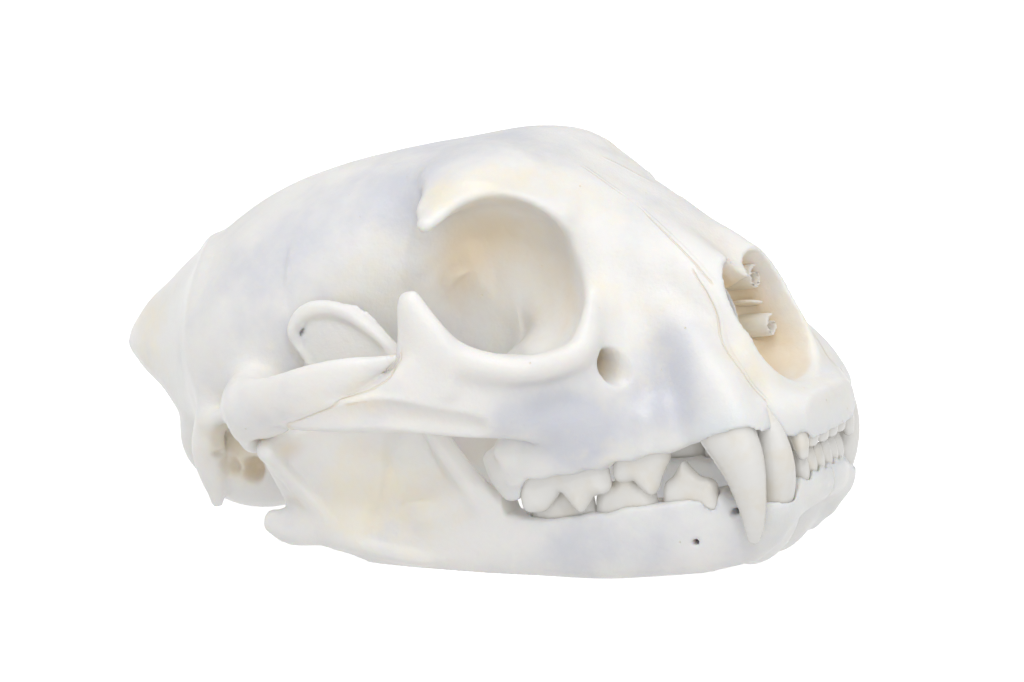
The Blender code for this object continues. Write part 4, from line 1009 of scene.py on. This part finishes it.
# Bars: the direction of their height, how softly they join, the steps along them, and rows as above.
JAW_BARS = {
    "body": (UP, 3, 36, [
        (9.4, 11.4, -14, 3.3, 6.6), (11.3, 14, -13.5, 3.3, 7.3), (14, 18, -12.7, 3.3, 8.2),
        (16.3, 25, -12.4, 3.3, 8.1), (18.2, 32, -12.1, 3.2, 7.9), (20, 40, -11.3, 3, 7.5),
        (22.2, 48, -10.9, 2.9, 6.7), (24.4, 56, -9.2, 2.5, 7), (26.4, 64, -6.4, 2.1, 8),
        (28, 71, -4.6, 1.9, 6.4)]),
    "front of the jaw": (UP, 3, 10, [
        (-2, 5, -10.2, 3.6, 3.9), (3, 5, -10.2, 3.6, 3.9), (6.4, 6, -10.8, 3.5, 4),
        (9.4, 6.8, -12.2, 3.2, 3.4)]),
    "canine socket": (BACK, 2, 10, [
        (10.5, 6.7, -8.4, 3, 3.6), (10.1, 7.4, -11.4, 3.1, 3.8), (9.4, 10, -15.2, 3, 3.8)]),
    "upright plate": (BACK, 2, 24, [
        (25, 60, -8, 2, 11), (25.4, 62.4, 0, 1.4, 11), (26, 62.8, 7, 1.2, 9.4), (26.5, 62.8, 12, 1, 8),
        (26.7, 65, 17, 1, 8.2), (26.8, 67.2, 20.6, 0.9, 7.9), (26.9, 69, 23, 0.8, 5.6),
        (27, 69.6, 24.4, 0.7, 2.8)]),
    "top of the upright plate": (UP, 4, 12, [
        (33.6, 75.6, 4.8, 1.2, 3), (31, 72, 4.4, 1.1, 5), (28.8, 68, 4, 1.1, 7), (27, 63, 3, 1.1, 8)]),
    "rear edge of the upright plate": (BACK, 1.6, 14, [
        (34, 77.2, 4.6, 1.2, 1.8), (31.8, 77, 1.6, 1.1, 2.4), (30.4, 76.4, -1.8, 1.1, 2.6),
        (29.6, 75, -5, 1.2, 3)]),
    "front edge": (BACK, 2, 16, [
        (27.4, 57.4, 18, 0.9, 1.1), (27.6, 55.4, 13, 1.3, 1.4), (27.4, 53, 6.5, 1.5, 1.6),
        (25.8, 50.4, 0, 1.7, 1.9), (23.2, 48.6, -5.4, 1.8, 2.1), (21.4, 47.4, -9.6, 1.6, 2)]),
    "neck": (UP, 2.5, 12, [
        (27.4, 66, -4, 1.7, 6), (28.6, 70, -1, 1.8, 6.4), (30, 74, 3, 2, 4.4), (30.4, 76, 6.2, 2.4, 2.4)]),
    "condyle": (UP, 1.2, 12, CONDYLE),
    "ridge under the condyle": ((0, 1, 0.3), 1.2, 18, [
        (36, 76, 5, 0.8, 1.2), (34.4, 75.4, 2.4, 0.7, 1.2), (32.6, 74.2, -1, 0.7, 1.4),
        (31, 72.8, -4.6, 0.7, 1.4), (29.6, 70.6, -8.2, 0.8, 1.4), (28, 66, -10.8, 1, 1.4),
        (26.2, 59, -13.2, 1.2, 1.4)]),
    "angle": (UP, 2, 12, [
        (27.6, 68, -7.4, 1.9, 3.2), (29.4, 74.5, -6.9, 2, 2.9), (30.8, 79, -6.4, 1.9, 2.6),
        (31.2, 81.4, -5.2, 1.4, 1.9)]),
    "coronoid rim": (LATERAL, 0.8, 30, [
        (27.4, 55.8, 15, 0.7, 1.1), (27.4, 56.6, 17.6, 0.7, 1.1), (27.3, 58, 19.8, 0.75, 1.1),
        (27.3, 60.4, 22.2, 0.85, 1.1), (27.3, 63.4, 24.5, 1.05, 1.15), (27.3, 66.6, 25.9, 1.25, 1.2),
        (27.3, 69.7, 26.1, 1.35, 1.2), (27.3, 72.7, 24.9, 1.25, 1.15), (27.3, 74.3, 22.6, 0.9, 1),
        (27.1, 73.9, 20.8, 0.6, 0.8), (26.9, 72.6, 18.4, 0.4, 0.8), (26.8, 71.6, 15.6, 0.3, 0.8)]),
}
# Lower teeth, listed as the upper ones are.
LOWER_SINGLES = {
    "lower_incisor_1": [
        (1.3, 6.6, -12.4, 0.7, 1.1), (1.3, 3.6, -9, 0.9, 1.3), (1.3, 3.1, -7, 1.25, 1),
        (1.3, 3, -5.4, 1.15, 0.6)],
    "lower_incisor_2": [
        (3.5, 6.8, -12.4, 0.7, 1.1), (3.6, 3.8, -9, 0.9, 1.3), (3.7, 3.2, -7, 1.25, 1),
        (3.7, 3.1, -5.4, 1.1, 0.6)],
    "lower_incisor_3": [
        (5.6, 7.2, -12.4, 0.7, 1.1), (5.8, 4, -9, 0.9, 1.3), (6.1, 3.5, -7, 1.25, 1.1),
        (6.1, 3.4, -5.4, 1.05, 0.6)],
    "lower_canine": [
        (9.2, 10, -15.4, 1.7, 2.4), (10.3, 6.4, -10.8, 2.1, 2.7), (10.9, 5.3, -8, 2.15, 2.85),
        (11.6, 4.6, -4.4, 1.95, 2.75), (12.2, 4.5, -0.4, 1.45, 2.1), (12.6, 4.6, 2, 0.9, 1.2),
        (12.7, 4.5, 3.2, 0.5, 0.6)],
}
LOWER_CHEEK_TEETH = {
    "lower_premolar_3": ((11.3, 0.18), 1.5, 1.9, [
        (21.8, -11.8), (22.2, -8.8), (21.6, -6.6), (20.2, -5.6), (19.2, -4.3), (18.3, -3.5), (17.4, -4.7),
        (16.2, -6.1), (14.8, -6.6), (13.9, -7.6), (14, -9), (14.6, -11.8)]),
    "lower_premolar_4": ((11.6, 0.2), 1.6, 2, [
        (32, -11.8), (32.2, -8.6), (31.4, -6.2), (30.2, -5.3), (29, -5.4), (28.2, -3.7), (27.2, -2.7),
        (26.2, -3.9), (25.4, -5.6), (24.3, -5.7), (23.3, -6.7), (23, -8.8), (23.4, -11.8)]),
    "lower_molar_1": ((11.9, 0.2), 1.6, 2.2, [
        (41.6, -11), (42, -8.2), (41.8, -4.4), (40.6, -2), (39.4, -2.6), (38.2, -4.4), (37.4, -5),
        (36.4, -4), (35, -3), (33.6, -3.8), (32.6, -6.2), (32.4, -8.6), (32.8, -11.4)]),
}
# The gum line, the low relief and the spots of colour, listed as the cranium's are.
LOWER_GUM = [
    (-6, -7.8, -6.4), (2.4, -9, -6.5), (4, -10.4, -7.4), (9, -10.8, -9), (11.4, -9.8, -9),
    (13.6, -8.6, -8.6), (17, -8.8, -8.8), (20.2, -9, -9), (22.5, -9.1, -9.1), (26.7, -8.9, -8.9),
    (29.6, -9.6, -9.6), (32.2, -9.2, -9.2), (38, -9.5, -9.5), (43, -8.6, -8.6), (45, -8, -8), (46, 40, 40),
]
JAW_RELIEF = {
    "hollow for the chewing muscle": [
        (27.6, 57, 5, -0.8, 5), (28, 60, 0, -2.1, 7.5), (28, 63, -5, -2, 7.5), (27, 60, -9, -0.9, 4)],
    "ridge in front of the hollow": [
        (28.6, 52.6, 6, 0.5, 1.6), (27.4, 50.2, 0.4, 0.7, 1.6), (25.4, 49, -4.4, 0.7, 1.6),
        (23.6, 49, -8.4, 0.4, 1.6)],
    "lower edge of the hollow": [
        (30, 71, -9, 0.5, 1.6), (28.6, 66, -11.4, 0.7, 1.6), (26.8, 58, -13.4, 0.6, 1.6),
        (25, 52, -13.6, 0.2, 1.6)],
}
# The swelling at the chin's joint, listed as a rounded form, and the two small nerve openings beside it.
CHIN_JOINT = ((3.4, 13, -15.8), (5.4, 7.6, 5), (-48, 0, 0), 3)
MENTAL_FORAMINA = [(13.5, 11.8, -12), (15, 17.4, -15.5)]
FORAMEN_RADII = (4, 0.62, 0.52)
JAW_CREAM = [
    ((29, 62, -3), (8, 16, 10), 1.1), ((27, 66, 24), (4, 12, 8), 0.3), ((22, 56, -14), (8, 16, 4), 0.4),
]
JAW_COOL = [((19, 34, -14), (8, 16, 8), 0.6), ((13, 18, -15), (7, 9, 7), 0.5)]
# Yellow-brown on the jaw: painted shade on its inner face, round the joint, under the cheek arch and behind
# the front edge, and yellower bone at three tooth sockets.
JAW_TAN_AND_SHADE = [
    ((7, 18, -11), (5, 10, 6), 1.2), ((35, 75.6, 6.6), (5, 5, 3), 1.1), ((28, 66, 5), (5, 6, 4), 0.7),
    ((27, 60, 2), (6, 9, 6), 0.3), ((31, 77.5, -2), (4, 3, 4), 0.5), ((16, 22.8, -8), (3, 2, 3), 0.9),
    ((17, 32, -8), (3, 2, 3), 0.9), ((12, 10, -9), (4, 2, 3), 0.8), ((25, 48, 0), (4, 3, 9), 0.4),
]

jaw = Solid((-1.0, -4, -26), (42, 88, 32), JAW_STEP)
for tall, blend, steps, path in JAW_BARS.values():
    jaw.tube(path, tall, steps, blend)
jaw.ball(*CHIN_JOINT)
for path in JAW_RELIEF.values():
    jaw.relief(path, steps=30)
uncut_jaw = jaw.copied()
jaw.trimmed(LOWER_GUM, below=False, blend=1.2)
for place in MENTAL_FORAMINA:
    jaw.ball(place, FORAMEN_RADII, blend=0.3, cut=True)
for column in LOWER_SINGLES.values():
    jaw.tube(column, BACK, steps=24, blend=0.2, grow=SOCKET_GAP, cut=True, wall=THINNEST)
for row, half_width, swell, outline in LOWER_CHEEK_TEETH.values():
    jaw.crown(outline, row, half_width, swell, blend=0.2, grow=SOCKET_GAP, cut=True, wall=THINNEST)
jaw.flattened((-2, -4, -26), (3, 30, 0), axis=0, at=HALF_GAP, blend=0.3)
points, faces = jaw.skin()
# Points of the lower edge that reach below the table are lifted onto it, so that the jaw rests flat.
table = to_world(points)[:, 2] / MM
points[:, 2] -= np.minimum(table, 0) / math.cos(NOSE_UP)
for side, label in SIDES:
    piece = new_piece(f"jaw_bone_{label}", points, faces, side)
    thin_out(piece, JAW_TRIANGLES)
    finish_bone(piece, jaw, uncut_jaw, cream=JAW_CREAM, cool=JAW_COOL, tan_and_shade=JAW_TAN_AND_SHADE)
    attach(piece, "root")
    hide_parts(f"jaw_{label}")

# Teeth
# A cat's teeth stand loose in their sockets once the skull is clean: small incisors in a row, long curved
# canines, and cheek teeth with blade-like cusps. The enamel is smoother and glossier than the bone.

TOOTH_STEP = 0.2  # of the grid
TOOTH_WHITE = (0.80, 0.79, 0.765, 1)
TOOTH_CREAM = (0.78, 0.74, 0.66, 1)


def enamel_material():
    """White enamel with faint yellower clouds, smoother where the clouds are faint."""
    paint = Paint("tooth_enamel")
    mottle = noise(paint, 0.25, 3)
    colour = paint.mixed(mottle.rise(0.4, 0.8), TOOTH_WHITE, TOOTH_CREAM)
    paint.shade({
        "Base Color": colour,
        "Roughness": 0.16 + mottle * 0.15,
        "Normal": paint.bumps(mottle * 0.06, 0.6),
    })
    return paint.material


enamel = enamel_material()


def add_tooth(name, places, shape):
    """One tooth of each side: its shape on a grid about its places, then put on the right and the left."""
    places = np.array(places)
    tooth = Solid(places.min(0) - 4, places.max(0) + 4, TOOTH_STEP)
    shape(tooth)
    points, faces = tooth.skin()
    for side, label in SIDES:
        piece = new_piece(f"{name}_crown_{label}", points, faces, side)
        piece.data.materials.append(enamel)
        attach(piece, "root")
        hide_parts(f"{name}_{label}")


for name, column in (UPPER_SINGLES | LOWER_SINGLES).items():
    places = [row[:3] for row in column]
    add_tooth(name, places, lambda tooth: tooth.tube(column, BACK, steps=24, blend=0.8))
for name, (row, half_width, swell, outline) in (UPPER_CHEEK_TEETH | LOWER_CHEEK_TEETH).items():
    places = [(row[0] + row[1] * back, back, up) for back, up in outline]
    add_tooth(name, places, lambda tooth: tooth.crown(outline, row, half_width, swell))

# Setting
# A plain white floor, even white light from all round, two wide soft lamps, in front and above, and a
# small one for the glints. The floor glows a little, so that it stays white round the skull as a light
# table does, but its glow doesn't light the skull from below.

HALF_FLOOR = 3.0  # m
floor_corners = [(x * HALF_FLOOR, y * HALF_FLOOR, 0) for x, y in ((-1, -1), (1, -1), (1, 1), (-1, 1))]
floor_mesh = bpy.data.meshes.new("floor")
floor_mesh.from_pydata(floor_corners, [], [(0, 1, 2, 3)])
floor = bpy.data.objects.new("floor", floor_mesh)
bpy.context.scene.collection.objects.link(floor)
floor_paint = Paint("floor_white")
floor_paint.shade({
    "Base Color": (0.55, 0.55, 0.55, 1),
    "Emission Color": (1, 1, 1, 1),
    "Emission Strength": 0.85,
    "Roughness": 0.9,
    "Specular IOR Level": 0.0,
})
floor_mesh.materials.append(floor_paint.material)
floor.visible_diffuse = False

world = bpy.data.worlds.new("studio")
bpy.context.scene.world = world
world.use_nodes = True
world.node_tree.nodes["Background"].inputs["Color"].default_value = (1, 1, 1, 1)
world.node_tree.nodes["Background"].inputs["Strength"].default_value = 0.64

CAMERA_AZIMUTH, CAMERA_ELEVATION = math.radians(-60.9), math.radians(13.4)
CAMERA_DISTANCE = 0.7  # m
CAMERA_LENS = 159.7  # mm, on a 36 mm wide sensor
LAMP_DISTANCE = 1.2  # m
SKULL_MIDDLE = np.array([0, -7.4, 35.8]) * MM
AIM_BELOW = 5.93 * MM
AIM_RIGHT = 0.385 * MM


def away(azimuth, elevation):
    """The direction from the skull to a viewer at this azimuth and elevation."""
    flat = math.cos(elevation)
    return np.array([math.sin(azimuth) * flat, -math.cos(azimuth) * flat, math.sin(elevation)])


def look(thing, place, target):
    """Puts a camera or a lamp at a place, level, and facing the target."""
    thing.location = place
    thing.rotation_euler = Vector(np.array(target) - place).to_track_quat("-Z", "Y").to_euler()
    bpy.context.scene.collection.objects.link(thing)


def add_lamp(name, kind, azimuth, elevation, size, energy):
    """A soft lamp: a distant one with its size in degrees, or a near square one with its size in metres."""
    data = bpy.data.lights.new(name, kind)
    data.energy = energy
    if kind == "SUN":
        data.angle = math.radians(size)
    else:
        data.shape, data.size = "SQUARE", size
    direction = away(math.radians(azimuth), math.radians(elevation))
    look(bpy.data.objects.new(name, data), SKULL_MIDDLE + direction * LAMP_DISTANCE, SKULL_MIDDLE)


add_lamp("front", "SUN", azimuth=-50, elevation=9, size=50, energy=0.58)
add_lamp("top", "SUN", azimuth=-100, elevation=72, size=45, energy=1.0)
add_lamp("glint", "AREA", azimuth=-48, elevation=44, size=0.07, energy=1.4)

toward_camera = away(CAMERA_AZIMUTH, CAMERA_ELEVATION)
picture_right = np.array([math.cos(CAMERA_AZIMUTH), math.sin(CAMERA_AZIMUTH), 0])
picture_up = np.cross(toward_camera, picture_right)
camera_data = bpy.data.cameras.new("camera")
camera_data.sensor_width = 36
camera_data.lens = CAMERA_LENS
camera_data.clip_start = 0.05
camera = bpy.data.objects.new("camera", camera_data)
aim = SKULL_MIDDLE + picture_right * AIM_RIGHT - picture_up * AIM_BELOW
look(camera, SKULL_MIDDLE + toward_camera * CAMERA_DISTANCE, aim)
bpy.context.scene.camera = camera
bpy.context.scene.view_settings.view_transform = "Standard"
